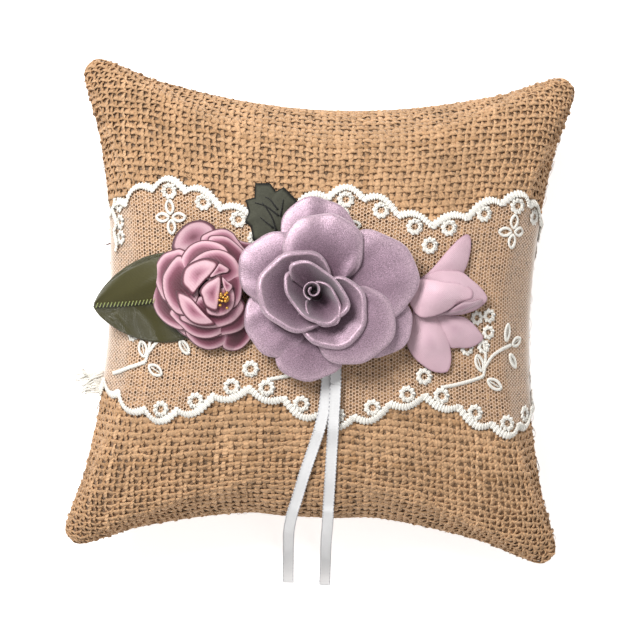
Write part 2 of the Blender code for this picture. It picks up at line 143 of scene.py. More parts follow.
class PillowColours(PropertyGroup):
    """Cloth and flower colours."""

    burlap: FloatVectorProperty(
        name="Burlap", description="Jute thread", subtype="COLOR", default=linear(187, 149, 112)
    )
    lace: FloatVectorProperty(
        name="Lace", description="Embroidery", subtype="COLOR", default=linear(246, 243, 236)
    )
    rose: FloatVectorProperty(
        name="Rose", description="Lilac organza", subtype="COLOR", default=linear(148, 124, 137)
    )
    camellia: FloatVectorProperty(
        name="Camellia", description="Pink satin", subtype="COLOR", default=linear(197, 160, 168)
    )
    bloom: FloatVectorProperty(
        name="Silk bloom", description="Pale pink silk", subtype="COLOR", default=linear(204, 173, 183)
    )
    leaf: FloatVectorProperty(
        name="Satin leaf", description="Olive satin", subtype="COLOR", default=linear(62, 58, 20)
    )
    ribbon: FloatVectorProperty(
        name="Ribbon", description="White satin", subtype="COLOR", default=linear(224, 223, 223)
    )


# ------------------------------------------------------------------ formulas for the pillow


def fullness(a, b):
    """How full the pillow is at a, b in -1..1: (1 - a squared) times (1 - b squared), to the crown power."""
    return np.maximum(0.0, (1 - a * a) * (1 - b * b)) ** CROWN_POWER


def same_shape(*values):
    """The values as arrays of one shape."""
    return np.broadcast_arrays(*(np.asarray(value, float) for value in values))


def rested(height, floor):
    """A height that stays over the floor, with a short parabola where it meets it."""
    over = height - floor
    soft = floor + (over + FLOOR_BLEND) ** 2 / (4 * FLOOR_BLEND)
    return np.where(over >= FLOOR_BLEND, height, np.where(over <= -FLOOR_BLEND, floor, soft))


def drape_at(a, b, side):
    """Moves of the simulated cloth at a, b: linear between the four nearest points of its grid, whose a and b
    are the sines of even steps."""
    table = drape[side]
    last = DRAPE_COUNT - 1
    i = (np.arcsin(np.clip(a, -1, 1)) / math.pi + 0.5) * last
    j = (np.arcsin(np.clip(b, -1, 1)) / math.pi + 0.5) * last
    i0, j0 = np.minimum(i.astype(int), last - 1), np.minimum(j.astype(int), last - 1)
    p, q = (i - i0)[..., None], (j - j0)[..., None]
    return (
        table[i0, j0] * (1 - p) * (1 - q)
        + table[i0 + 1, j0] * p * (1 - q)
        + table[i0, j0 + 1] * (1 - p) * q
        + table[i0 + 1, j0 + 1] * p * q
    )


def shell(a, b, side, grow=0.0, seam=None):
    """A pillow face moved out by grow. x and y are a and b times half the width and depth, less the pull of
    the sides, blunted at the corners; z is the seam height plus or minus the crown times the fullness."""
    a, b, grow = same_shape(a, b, grow)
    blunt = 1 - CORNER_ROUND * np.abs(a * b) ** CORNER_POWER - CORNER_BLUNT * np.abs(a * b) ** BLUNT_POWER
    pull_x = (SIDE_PULL_X + CORNER_FULL) * (1 - b * b) ** PULL_POWER
    pull_y = (SIDE_PULL_Y + CORNER_FULL) * (1 - a * a) ** PULL_POWER
    x = (PILLOW_WIDTH / 2 + CORNER_FULL + grow - pull_x) * a * blunt
    y = (PILLOW_DEPTH / 2 + CORNER_FULL + grow - pull_y) * b * blunt
    rise = (SEAM_GAP / 2 if seam is None else seam) + (CROWN + grow) * fullness(a, b)
    z = SEAM_HEIGHT + rise if side > 0 else rested(SEAM_HEIGHT - rise, FLOOR_UNDER_BURLAP - grow)
    return np.stack([x, y, z], axis=-1) + drape_at(a, b, side)


SETTLE_ROUNDS = 30


def place(x, y):
    """The a, b of a point x, y on the frame's solid: its outline formula run backwards until it settles."""
    a, b = np.zeros_like(x, dtype=float), np.zeros_like(y, dtype=float)
    for _ in range(SETTLE_ROUNDS):
        a = x / (PILLOW_WIDTH / 2 - SIDE_PULL_X * (1 - b * b))
        b = y / (PILLOW_DEPTH / 2 - SIDE_PULL_Y * (1 - a * a))
    return np.clip(a, -1, 1), np.clip(b, -1, 1)


def front_height(x, y):
    """Height of the undraped front at x, y: the seam height plus the crown times the fullness."""
    a, b = place(np.asarray(x, float), np.asarray(y, float))
    return SEAM_HEIGHT + SEAM_GAP / 2 + CROWN * fullness(a, b)


def even_table():
    """Even steps along the middle section against a: the running length of its curve, from 0 to 1."""
    a = np.sin(np.linspace(-math.pi / 2, math.pi / 2, 401))
    x = (PILLOW_WIDTH / 2 - SIDE_PULL_X) * a
    z = CROWN * fullness(a, 0 * a)
    run = np.concatenate([[0], np.cumsum(np.hypot(np.diff(x), np.diff(z)))])
    return run / run[-1], a


EVEN_RUN, EVEN_A = even_table()


def cloth_place(c, d):
    """a, b for a point c, d in 0..1 of the flat cloth: even along the curved middle, even in plan by the
    seams."""
    lin_a, lin_b = 2 * c - 1, 2 * d - 1
    a = np.interp(c, EVEN_RUN, EVEN_A) * (1 - lin_b**4) + lin_a * lin_b**4
    b = np.interp(d, EVEN_RUN, EVEN_A) * (1 - lin_a**4) + lin_b * lin_a**4
    return np.clip(a, -1, 1), np.clip(b, -1, 1)


# ------------------------------------------------------------------ mesh helpers


def grid_quads(rows, cols, close_rows=False, close_cols=False, flip=False):
    """Quads over a rows by cols grid of points, wrapping round where asked."""
    first_rows, first_cols = rows - (not close_rows), cols - (not close_cols)
    r, c = np.meshgrid(np.arange(first_rows), np.arange(first_cols), indexing="ij")
    r1, c1 = (r + 1) % rows, (c + 1) % cols
    order = [r * cols + c, r1 * cols + c, r1 * cols + c1, r * cols + c1]
    return np.stack(order[::-1] if flip else order, axis=-1).reshape(-1, 4)


class Build:
    """Gathers points, quads, end caps, UVs and a tint, then makes one object of them."""

    def __init__(self):
        self.points, self.polys, self.uvs, self.tints, self.count = [], [], [], [], 0

    def add(self, points, polys, uv=None, tint=0.5):
        """Adds points and the faces between them; polys is one array of faces or a list of arrays."""
        flat = np.asarray(points, float).reshape(-1, 3)
        n = len(flat)
        self.points.append(flat)
        self.polys += [np.asarray(p) + self.count for p in (polys if isinstance(polys, list) else [polys])]
        self.uvs.append(np.zeros((n, 2)) if uv is None else np.asarray(uv, float).reshape(-1, 2))
        self.tints.append(np.broadcast_to(np.asarray(tint, float).reshape(-1), (n,)))
        self.count += n

    def make(self, name, material, body=BODY, smooth=True):
        """Makes the object of what was added, and lets it ride on its body."""
        mesh = bpy.data.meshes.new(name)
        points, uvs, tints = np.concatenate(self.points), np.concatenate(self.uvs), np.concatenate(self.tints)
        loops = np.concatenate([p.ravel() for p in self.polys])
        sizes = np.concatenate([np.full(len(p), p.shape[1]) for p in self.polys])
        mesh.vertices.add(len(points))
        mesh.vertices.foreach_set("co", points.ravel())
        mesh.loops.add(len(loops))
        mesh.loops.foreach_set("vertex_index", loops)
        mesh.polygons.add(len(sizes))
        mesh.polygons.foreach_set("loop_start", np.concatenate([[0], np.cumsum(sizes)[:-1]]))
        mesh.polygons.foreach_set("use_smooth", np.full(len(sizes), smooth))
        mesh.uv_layers.new(name="UVMap").data.foreach_set("uv", uvs[loops].ravel())
        mesh.attributes.new("tint", "FLOAT", "POINT").data.foreach_set("value", tints)
        mesh.update()
        mesh.validate()
        obj = bpy.data.objects.new(name, mesh)
        bpy.context.scene.collection.objects.link(obj)
        mesh.materials.append(material)
        if body:
            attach(obj, body)
        return obj


def unit(v):
    """The vectors v divided by their lengths."""
    return v / np.maximum(np.linalg.norm(v, axis=-1, keepdims=True), 1e-12)


def tubes(build, paths, outward, half_width, half_height, sides, tint=0.5, closed=False):
    """Oval tubes along paths (tubes, samples, 3): each ring is the path plus the side direction times
    half_width cos, plus the outward direction times half_height sin. u is the length along the tube and v the
    share of the turn round it. Open ends are capped."""
    paths = np.asarray(paths, float)
    if paths.ndim == 2:
        paths, outward = paths[None], np.asarray(outward, float)[None]
    count, samples = paths.shape[:2]
    if closed:
        tangent = unit(np.roll(paths, -1, axis=1) - np.roll(paths, 1, axis=1))
    else:
        tangent = unit(np.gradient(paths, axis=1))
    aside = unit(np.cross(tangent, outward))
    up = np.cross(aside, tangent)
    turn = np.arange(sides) * TAU / sides - math.pi / 2
    hw = np.broadcast_to(half_width, (count, samples))[..., None, None]
    hh = np.broadcast_to(half_height, (count, samples))[..., None, None]
    across = aside[:, :, None] * hw * np.cos(turn)[:, None]
    ring = paths[:, :, None] + across + up[:, :, None] * hh * np.sin(turn)[:, None]
    steps = np.linalg.norm(np.diff(paths, axis=1), axis=-1)
    run = np.concatenate([np.zeros((count, 1)), np.cumsum(steps, axis=1)], axis=1)
    round_tube = np.broadcast_to(np.arange(sides) / sides, (count, samples, sides))
    uv = np.stack([np.repeat(run[..., None], sides, -1), round_tube], -1)
    one = grid_quads(samples, sides, close_rows=closed, close_cols=True)
    starts = (np.arange(count) * samples * sides)[:, None]
    polys = [(one[None] + starts[:, :, None]).reshape(-1, 4)]
    if not closed:
        polys.append(starts + np.arange(sides))
        polys.append(starts + (samples - 1) * sides + np.arange(sides)[::-1])
    tints = np.repeat(np.broadcast_to(np.asarray(tint, float).reshape(-1, 1), (count, 1)), samples * sides, 1)
    build.add(ring, polys, uv, tints)


CURVE_STEPS = 24


def smooth_path(points, samples, closed=False):
    """A Catmull-Rom curve through the points, walked in even steps."""
    p = np.asarray(points, float)
    ends = (p[-1:], p[:2]) if closed else (2 * p[:1] - p[1:2], 2 * p[-1:] - p[-2:-1])
    q = np.concatenate([ends[0], p, ends[1]])
    spans = len(q) - 3
    t = np.linspace(0, spans, spans * CURVE_STEPS + 1)
    k = np.minimum(t.astype(int), spans - 1)
    f = (t - k)[:, None]
    p0, p1, p2, p3 = q[k], q[k + 1], q[k + 2], q[k + 3]
    curve = 0.5 * (
        2 * p1 + (p2 - p0) * f + (2 * p0 - 5 * p1 + 4 * p2 - p3) * f**2 + (3 * p1 - p0 - 3 * p2 + p3) * f**3
    )
    run = np.concatenate([[0], np.cumsum(np.linalg.norm(np.diff(curve, axis=0), axis=1))])
    at = np.linspace(0, run[-1], samples + (1 if closed else 0))
    even = np.stack([np.interp(at, run, curve[:, i]) for i in range(curve.shape[1])], axis=-1)
    return even[:-1] if closed else even


# ------------------------------------------------------------------ shared shader groups


def new_group(name, inputs, outputs):
    """An empty node group with its sockets, and its input and output nodes."""
    group = bpy.data.node_groups.new(name, "ShaderNodeTree")
    for label, kind, default in inputs:
        socket = group.interface.new_socket(name=label, in_out="INPUT", socket_type=kind)
        if default is not None:
            socket.default_value = default
    for label, kind in outputs:
        group.interface.new_socket(name=label, in_out="OUTPUT", socket_type=kind)
    start, end = group.nodes.new("NodeGroupInput"), group.nodes.new("NodeGroupOutput")
    return group, start, end


def node(tree, kind, links=None, **values):
    """A new node with its properties and socket values set, and links made into its sockets."""
    made = tree.nodes.new(kind)
    for key, value in values.items():
        if hasattr(made, key):
            setattr(made, key, value)
        else:
            made.inputs[key].default_value = value
    for key, source in (links or {}).items():
        tree.links.new(source, made.inputs[key])
    return made


def math_node(tree, operation, *inputs):
    """The output of a Math node whose inputs are numbers or other outputs."""
    made = tree.nodes.new("ShaderNodeMath")
    made.operation = operation
    for i, value in enumerate(inputs):
        if isinstance(value, (int, float)):
            made.inputs[i].default_value = value
        else:
            tree.links.new(value, made.inputs[i])
    return made.outputs[0]


def mix_colours(tree, factor, first, second):
    """The output of a Mix node between two colours, which are tuples or other outputs."""
    made = tree.nodes.new("ShaderNodeMix")
    made.data_type, made.blend_type = "RGBA", "MIX"
    for socket, value in ((made.inputs[0], factor), (made.inputs[6], first), (made.inputs[7], second)):
        if isinstance(value, (int, float, tuple)):
            socket.default_value = (*value, 1) if isinstance(value, tuple) and len(value) == 3 else value
        else:
            tree.links.new(value, socket)
    return made.outputs[2]


def speckle_group():
    """Fine grain and slow patches that lighten and darken a colour, and a height for the same grain."""
    group, start, end = new_group(
        "cloth_speckle",
        [
            ("Vector", "NodeSocketVector", None),
            ("Colour", "NodeSocketColor", (0.5, 0.5, 0.5, 1)),
            ("Grain Scale", "NodeSocketFloat", 2500.0),
            ("Grain", "NodeSocketFloat", 0.3),
            ("Patch Scale", "NodeSocketFloat", 60.0),
            ("Patches", "NodeSocketFloat", 0.2),
        ],
        [("Colour", "NodeSocketColor"), ("Height", "NodeSocketFloat")],
    )
    vector, colour, grain_scale, grain_amount, patch_scale, patch_amount = start.outputs[:6]
    fine = node(group, "ShaderNodeTexNoise", {"Vector": vector, "Scale": grain_scale}, Detail=3.0)
    slow = node(group, "ShaderNodeTexNoise", {"Vector": vector, "Scale": patch_scale}, Detail=2.0)
    grain = math_node(group, "MULTIPLY", math_node(group, "SUBTRACT", fine.outputs[0], 0.5), grain_amount)
    patch = math_node(group, "MULTIPLY", math_node(group, "SUBTRACT", slow.outputs[0], 0.5), patch_amount)
    change = math_node(group, "MULTIPLY", math_node(group, "ADD", grain, patch), 2.0)
    gain = math_node(group, "ADD", change, 1.0)
    scaled = node(group, "ShaderNodeVectorMath", {0: colour}, operation="SCALE")
    group.links.new(gain, scaled.inputs["Scale"])
    group.links.new(scaled.outputs[0], end.inputs[0])
    group.links.new(fine.outputs[0], end.inputs[1])
    return group


def twist_group():
    """Slanting fibre lines on a thread: a sine of the length along it plus the turn round it."""
    group, start, end = new_group(
        "thread_twist",
        [
            ("UV", "NodeSocketVector", None),
            ("Pitch", "NodeSocketFloat", 0.0012),
            ("Strands", "NodeSocketFloat", 3.0),
        ],
        [("Height", "NodeSocketFloat")],
    )
    parts = node(group, "ShaderNodeSeparateXYZ", {0: start.outputs[0]})
    along = math_node(group, "DIVIDE", parts.outputs[0], start.outputs[1])
    around = math_node(group, "MULTIPLY", parts.outputs[1], start.outputs[2])
    wave = math_node(group, "SINE", math_node(group, "MULTIPLY", math_node(group, "ADD", along, around), TAU))
    group.links.new(math_node(group, "MULTIPLY_ADD", wave, 0.5, 0.5), end.inputs[0])
    return group


def net_group():
    """Hexagonal net: the sum of three cosines 60 degrees apart, high in the holes and low on the threads."""
    group, start, end = new_group(
        "net_mesh",
        [
            ("UV", "NodeSocketVector", None),
            ("Pitch", "NodeSocketFloat", 0.0011),
            ("Open", "NodeSocketFloat", -0.2),
        ],
        [("Mask", "NodeSocketFloat"), ("Height", "NodeSocketFloat")],
    )
    parts = node(group, "ShaderNodeSeparateXYZ", {0: start.outputs[0]})
    waves = []
    for k in range(3):
        angle = k * math.pi / 3
        u = math_node(group, "MULTIPLY", parts.outputs[0], math.cos(angle))
        v = math_node(group, "MULTIPLY", parts.outputs[1], math.sin(angle))
        turn = math_node(group, "DIVIDE", math_node(group, "ADD", u, v), start.outputs[1])
        waves.append(math_node(group, "COSINE", math_node(group, "MULTIPLY", turn, TAU)))
    total = math_node(group, "ADD", math_node(group, "ADD", waves[0], waves[1]), waves[2])
    mask = math_node(group, "LESS_THAN", total, start.outputs[2])
    group.links.new(mask, end.inputs[0])
    group.links.new(math_node(group, "MULTIPLY", total, -0.3), end.inputs[1])
    return group


GROUPS = {}


def use_group(tree, name, links, **values):
    """A shared group placed in a material, with its own values and links."""
    made = tree.nodes.new("ShaderNodeGroup")
    made.node_tree = GROUPS[name]
    for key, value in values.items():
        made.inputs[key.replace("_", " ")].default_value = value
    for key, source in links.items():
        tree.links.new(source, made.inputs[key])
    return made


def new_material(name, **sockets):
    """A material, its tree and its shader, whose sockets are set."""
    material = bpy.data.materials.new(name)
    material.use_nodes = True
    tree = material.node_tree
    shader = tree.nodes["Principled BSDF"]
    for key, value in sockets.items():
        shader.inputs[key.replace("_", " ")].default_value = value
    return material, tree, shader


def bump(tree, shader, height, distance):
    """Lets a height shade the surface."""
    made = node(tree, "ShaderNodeBump", {"Height": height}, Distance=distance, Strength=1.0)
    tree.links.new(made.outputs[0], shader.inputs["Normal"])


def colour_ramp(tree, factor, stops):
    """A ramp through (position, colour) stops."""
    ramp = tree.nodes.new("ShaderNodeValToRGB")
    elements = ramp.color_ramp.elements
    while len(elements) < len(stops):
        elements.new(0.5)
    for element, (at, colour) in zip(elements, stops):
        element.position = at
        element.color = (*colour, 1)
    tree.links.new(factor, ramp.inputs[0])
    return ramp.outputs[0]


def uv_of(tree):
    """The piece's own UV map."""
    return node(tree, "ShaderNodeUVMap", uv_map="UVMap").outputs[0]


def object_of(tree):
    """Object coordinates."""
    return node(tree, "ShaderNodeTexCoord").outputs["Object"]


JUTE_DARK, JUTE_PALE, JUTE_PALEST = (0.82, 0.78, 0.72), (1.12, 1.14, 1.16), (1.3, 1.36, 1.42)


def jute_material(name, colour, gap_shade=1.0):
    """Jute thread: tint by thread, pale and dark fibres, slanting twist, and a factor that darkens it all as
    painted shade.
    """
    base = np.array(colour)
    material, tree, shader = new_material(name, Roughness=0.82, Specular_IOR_Level=0.22, Sheen_Weight=0.12)
    tint = node(tree, "ShaderNodeAttribute", attribute_name="tint").outputs["Fac"]
    shade = colour_ramp(
        tree,
        tint,
        [
            (0.0, tuple(base * JUTE_DARK * gap_shade)),
            (0.45, tuple(base * gap_shade)),
            (0.8, tuple(np.minimum(base * JUTE_PALE * gap_shade, 1))),
            (1.0, tuple(np.minimum(base * JUTE_PALEST * gap_shade, 1))),
        ],
    )
    speckle = use_group(
        tree, "cloth_speckle", {"Vector": object_of(tree), "Colour": shade},
        Grain_Scale=1500.0, Grain=0.40, Patch_Scale=140.0, Patches=0.30,
    )
    tree.links.new(speckle.outputs[0], shader.inputs["Base Color"])
    twist = use_group(tree, "thread_twist", {"UV": uv_of(tree)}, Pitch=0.0011, Strands=2.0)
    height = math_node(tree, "ADD", math_node(tree, "MULTIPLY", twist.outputs[0], 0.7), speckle.outputs[1])
    bump(tree, shader, height, 0.00022)
    return material


# what the thread's colour is multiplied by in the grooves between its strands: painted shade
STITCH_GROOVE_SHADE = (0.84, 0.82, 0.78)


def embroidery_material(name, colour):
    """Lace thread: tight slanting stitches, soft white, painted darker in the grooves between strands as
    shade.
    """
    material, tree, shader = new_material(name, Roughness=0.7, Specular_IOR_Level=0.25, Sheen_Weight=0.15)
    speckle = use_group(
        tree, "cloth_speckle", {"Vector": object_of(tree)},
        Grain_Scale=2600.0, Grain=0.12, Patch_Scale=200.0, Patches=0.06,
    )
    twist = use_group(tree, "thread_twist", {"UV": uv_of(tree)}, Pitch=0.0005, Strands=2.0)
    # darker where the twist is low, in the grooves between strands: painted shade
    dark = tuple(np.array(colour) * STITCH_GROOVE_SHADE)
    shade = mix_colours(tree, twist.outputs[0], dark, tuple(colour))
    tree.links.new(shade, speckle.inputs["Colour"])
    tree.links.new(speckle.outputs[0], shader.inputs["Base Color"])
    bump(tree, shader, twist.outputs[0], 0.00012)
    return material


NET_COLOUR, NET_EDGE_COLOUR = linear(213, 182, 155), linear(232, 226, 220)


def net_material(name, pitch):
    """Fine net: a rosy thread with open hexagonal holes, paler and closed where it is seen edge on."""
    material, tree, shader = new_material(name, Roughness=0.75, Specular_IOR_Level=0.2)
    veil = use_group(tree, "net_mesh", {"UV": uv_of(tree)}, Pitch=pitch, Open=-0.74)
    grazing = node(tree, "ShaderNodeLayerWeight", Blend=0.5).outputs["Facing"]
    dense = math_node(tree, "POWER", grazing, 2.0)
    speckle = use_group(
        tree, "cloth_speckle", {"Vector": object_of(tree)}, Colour=(*NET_COLOUR, 1),
        Grain_Scale=3000.0, Grain=0.15, Patch_Scale=90.0, Patches=0.15,
    )
    shade = mix_colours(tree, dense, speckle.outputs[0], NET_EDGE_COLOUR)
    tree.links.new(shade, shader.inputs["Base Color"])
    tree.links.new(math_node(tree, "MAXIMUM", veil.outputs[0], dense), shader.inputs["Alpha"])
    bump(tree, shader, veil.outputs[1], 0.0001)
    return material


def petal_material(name, colour, stops, grain, grain_scale, rib, rib_pitch, **sockets):
    """Petal cloth: a ramp from base to rim along the petal, whose given stops paint shade and highlight,
    lighter or darker by tint, with grain and fine ribs: a sine of the way across."""
    base = np.array(colour)
    material, tree, shader = new_material(name, **sockets)
    parts = node(tree, "ShaderNodeSeparateXYZ", {0: uv_of(tree)})
    colours = [(at, tuple(np.minimum(base * np.array(gain), 1))) for at, gain in stops]
    shade = colour_ramp(tree, parts.outputs[1], colours)
    tint = node(tree, "ShaderNodeAttribute", attribute_name="tint").outputs["Fac"]
    tinted = node(tree, "ShaderNodeVectorMath", {0: shade}, operation="SCALE")
    tree.links.new(math_node(tree, "ADD", tint, 0.5), tinted.inputs["Scale"])
    speckle = use_group(
        tree, "cloth_speckle", {"Vector": object_of(tree), "Colour": tinted.outputs[0]},
        Grain_Scale=grain_scale, Grain=grain, Patch_Scale=130.0, Patches=0.16,
    )
    tree.links.new(speckle.outputs[0], shader.inputs["Base Color"])
    wave = math_node(tree, "SINE", math_node(tree, "MULTIPLY", parts.outputs[0], TAU / rib_pitch))
    height = math_node(tree, "ADD", math_node(tree, "MULTIPLY", wave, rib), speckle.outputs[1])
    bump(tree, shader, height, 0.0001)
    return material


# the grey painted on the picot loops as shade, and the share of the half width where the loops begin
PICOT_PAINTED_SHADE, PICOT_EDGE = linear(150, 150, 156), 0.83


def satin_material(name, colour, grain, pitch, picot=None, **sockets):
    """Satin: smooth sheen with faint lines along the cloth, and loops at a ribbon's two edges painted grey as
    shade.
    """
    material, tree, shader = new_material(name, **sockets)
    speckle = use_group(
        tree, "cloth_speckle", {"Vector": object_of(tree)}, Colour=(*colour, 1),
        Grain_Scale=1800.0, Grain=grain, Patch_Scale=90.0, Patches=0.12,
    )
    twist = use_group(tree, "thread_twist", {"UV": uv_of(tree)}, Pitch=pitch, Strands=0.0)
    shade = speckle.outputs[0]
    if picot:
        parts = node(tree, "ShaderNodeSeparateXYZ", {0: uv_of(tree)})
        edge = math_node(tree, "GREATER_THAN", math_node(tree, "ABSOLUTE", parts.outputs[1]), PICOT_EDGE)
        loops = use_group(tree, "thread_twist", {"UV": uv_of(tree)}, Pitch=picot, Strands=0.0)
        shade = mix_colours(tree, math_node(tree, "MULTIPLY", edge, loops.outputs[0]), shade, PICOT_PAINTED_SHADE)
    tree.links.new(shade, shader.inputs["Base Color"])
    bump(tree, shader, twist.outputs[0], 0.00003)
    return material


# ------------------------------------------------------------------ stage


CAMERA_ROLL, CAMERA_DISTANCE, CAMERA_LOW = math.radians(2.4), 0.9, 0.00275
FOCUS_HEIGHT, FRAME_WIDTH, SENSOR_WIDTH = 0.025, 0.1958, 36.0
LIGHT_AIM, WORLD_STRENGTH, FLOOR_GLOW = (0, 0, 0.03), 0.425, 0.58
# name, place, size and power
LIGHTS = (
    ("key_light", (-0.50, 0.55, 1.00), 0.42, 17.5),
    ("fill_light", (0.7, -0.3, 1.2), 0.9, 2.5),
)
FLOOR_HALF, FLOOR_DROP = 3, 0.0001
FLOOR_TONES = (0.93, 0.93, 0.93), (0.96, 0.96, 0.96)


class PILLOW_OT_stage(Operator):
    """Adds the camera straight above, soft studio light and a pale floor"""

    bl_idname = "pillow.stage"
    bl_label = "Stage"

    def execute(self, context):
        scene = context.scene
        camera = bpy.data.cameras.new("camera")
        camera.sensor_width = SENSOR_WIDTH
        camera.lens = camera.sensor_width * CAMERA_DISTANCE / FRAME_WIDTH
        camera.clip_start, camera.clip_end = 0.01, 20.0
        rig = bpy.data.objects.new("camera", camera)
        down = (CAMERA_LOW * math.sin(CAMERA_ROLL), -CAMERA_LOW * math.cos(CAMERA_ROLL))
        rig.location = (*down, FOCUS_HEIGHT + CAMERA_DISTANCE)
        rig.rotation_euler = (0, 0, CAMERA_ROLL)
        scene.collection.objects.link(rig)
        scene.camera = rig
        scene.view_settings.view_transform = "Standard"
        scene.view_settings.look = "None"
        self.light(scene)
        self.floor()
        return {"FINISHED"}

    def light(self, scene):
        """An even white world, and two soft lamps aimed at the pillow."""
        world = bpy.data.worlds.new("studio")
        world.use_nodes = True
        world.node_tree.nodes["Background"].inputs[0].default_value = (1.0, 1.0, 1.0, 1)
        world.node_tree.nodes["Background"].inputs[1].default_value = WORLD_STRENGTH
        scene.world = world
        for name, place_at, size, power in LIGHTS:
            lamp = bpy.data.lights.new(name, "AREA")
            lamp.size, lamp.energy = size, power
            holder = bpy.data.objects.new(name, lamp)
            holder.location = place_at
            aim = Vector(LIGHT_AIM) - Vector(place_at)
            holder.rotation_euler = aim.to_track_quat("-Z", "Y").to_euler()
            scene.collection.objects.link(holder)

    def floor(self):
        """A flat square with faint paper tones."""
        material, tree, shader = new_material("studio_floor", Roughness=0.9, Emission_Strength=FLOOR_GLOW)
        shader.inputs["Emission Color"].default_value = (1, 1, 1, 1)
        paper = node(tree, "ShaderNodeTexNoise", {"Vector": object_of(tree)}, Scale=12.0)
        tone = mix_colours(tree, paper.outputs[0], *FLOOR_TONES)
        tree.links.new(tone, shader.inputs["Base Color"])
        build = Build()
        line = np.linspace(-FLOOR_HALF, FLOOR_HALF, 3)
        x, y = np.meshgrid(line, line, indexing="ij")
        build.add(np.stack([x, y, 0 * x - FLOOR_DROP], -1), grid_quads(3, 3))
        build.make("floor", material, body=None, smooth=False)


# ------------------------------------------------------------------ cushion, weave and seam


# how far the backing lies under the surface, and the simulated cloth under it; how far the drape may go
BACKING_DEPTH, TRIAL_DEPTH, DRAPE_LIMIT, BACK_DRAPE = 0.0007, 0.0006, 0.0014, 0.8
PUCKER_FADE, PUCKER_RISE = 0.045, 0.00042
DRAPE_SPAN, RIBBONS_REACH = 0.07, 0.013
COVERED_MIDDLE, COVERED_REACH = (-0.004, 0.004), (0.052, 0.030)


def drape_grid():
    """a and b of the drape's grid: the sines of even steps from seam to seam."""
    t = np.sin(np.linspace(-math.pi / 2, math.pi / 2, DRAPE_COUNT))
    return np.meshgrid(t, t, indexing="ij")


def cushion_mesh(grow):
    """Both faces on one grid of a, b, spaced by a sine towards the seam, joined by a wall at the seam."""
    a, b = drape_grid()
    n = DRAPE_COUNT
    quads = grid_quads(n, n)
    index = np.arange(n * n).reshape(n, n)
    rim = np.concatenate([index[:-1, 0], index[-1, :-1], index[:0:-1, -1], index[0, :0:-1]])
    after = np.roll(rim, -1)
    wall = np.stack([rim, rim + n * n, after + n * n, after], -1)
    points = np.concatenate([shell(a, b, 1, grow).reshape(-1, 3), shell(a, b, -1, grow).reshape(-1, 3)])
    return points, [quads, quads[:, ::-1] + n * n, wall[:, ::-1]], np.stack([a, b], -1)


def puffed(obj, frames=20, pressure=4.0):
    """The places of the cushion's points after the cloth has swelled under pressure, with no gravity."""
    cloth = obj.modifiers.new("Cloth", "CLOTH")
    cloth.settings.use_pressure = True
    cloth.settings.uniform_pressure_force = pressure
    cloth.settings.effector_weights.gravity = 0
    cloth.settings.mass = 0.15
    cloth.settings.shrink_min = -0.02
    cloth.point_cache.frame_end = frames
    scene = bpy.context.scene
    for step in range(1, frames + 1):
        scene.frame_set(step)
    evaluated = obj.evaluated_get(bpy.context.evaluated_depsgraph_get()).data
    moved = np.empty(len(evaluated.vertices) * 3)
    evaluated.vertices.foreach_get("co", moved)
    obj.modifiers.remove(cloth)
    scene.frame_set(1)
    return moved.reshape(-1, 3)


def puckers(a, b):
    """Small gathers beside the seam: sines along it, fading within a few millimetres."""
    near_x = np.exp(-(1 - np.abs(a)) / PUCKER_FADE)
    near_y = np.exp(-(1 - np.abs(b)) / PUCKER_FADE)
    along_y = np.sin(b * 33 + 2 * np.sin(b * 9)) + 0.6 * np.sin(b * 57 + 1)
    along_x = np.sin(a * 31 + 2 * np.sin(a * 8)) + 0.6 * np.sin(a * 61 + 2)
    return PUCKER_RISE * (near_x * along_y + near_y * along_x)


def uncovered(a, b):
    """1 where the front is bare, 0 under the flowers and ribbons: bells of the place over their reach."""
    x, y = a * DRAPE_SPAN, b * DRAPE_SPAN
    way_x, way_y = (x - COVERED_MIDDLE[0]) / COVERED_REACH[0], (y - COVERED_MIDDLE[1]) / COVERED_REACH[1]
    flowers = np.exp(-((way_x**2 + way_y**2) ** 2))
    ribbons = np.exp(-((x / RIBBONS_REACH) ** 4)) * (y < 0)
    return (1 - np.maximum(flowers, ribbons))[..., None]


class PILLOW_OT_cushion(Operator):
    """Simulates the filled cushion, then keeps its drape for the cloth over it"""

    bl_idname = "pillow.cushion"
    bl_label = "Cushion"

    def execute(self, context):
        # the backing's colour is darkened by 0.92 as painted shade where it shows between the threads
        material = jute_material("burlap_backing", tuple(context.scene.pillow_colours.burlap), gap_shade=0.92)
        self.simulate(material, context.scene.pillow_sizes.puff)
        a, b = drape_grid()
        bare = uncovered(a, b)
        for side in (1, -1):
            field = drape[side] * (bare if side > 0 else 1.0)
            lift = puckers(a, b) * (bare[..., 0] if side > 0 else 1.0)
            field[..., 2] = np.clip(field[..., 2] + side * lift, -DRAPE_LIMIT, DRAPE_LIMIT)
            if side < 0:
                field[..., 2] = np.maximum(field[..., 2], 0) * BACK_DRAPE
            drape[side] = field
        build = Build()
        points, polys, uv = cushion_mesh(-BACKING_DEPTH)
        build.add(points, polys, np.concatenate([uv, uv]), 0.35)
        cushion = build.make("cushion_body", material)
        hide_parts("front_panel", "back_panel", "fibrefill_stuffing")
        return {"FINISHED"}

    def simulate(self, material, most):
        """Fills the drape with the moves of a cloth under pressure, none longer than the most allowed."""
        n = DRAPE_COUNT
        start = Build()
        points, polys, _ = cushion_mesh(-BACKING_DEPTH - TRIAL_DEPTH)
        start.add(points, polys)
        trial = start.make("cushion_trial", material, body=None)
        moves = puffed(trial) - points
        bpy.data.objects.remove(trial)
        size = np.linalg.norm(moves, axis=1, keepdims=True)
        moves *= np.minimum(1, most / np.maximum(size, 1e-9))
        for side, part in ((1, moves[: n * n]), (-1, moves[n * n :])):
            drape[side] = part.reshape(n, n, 3) - part.mean(axis=0)


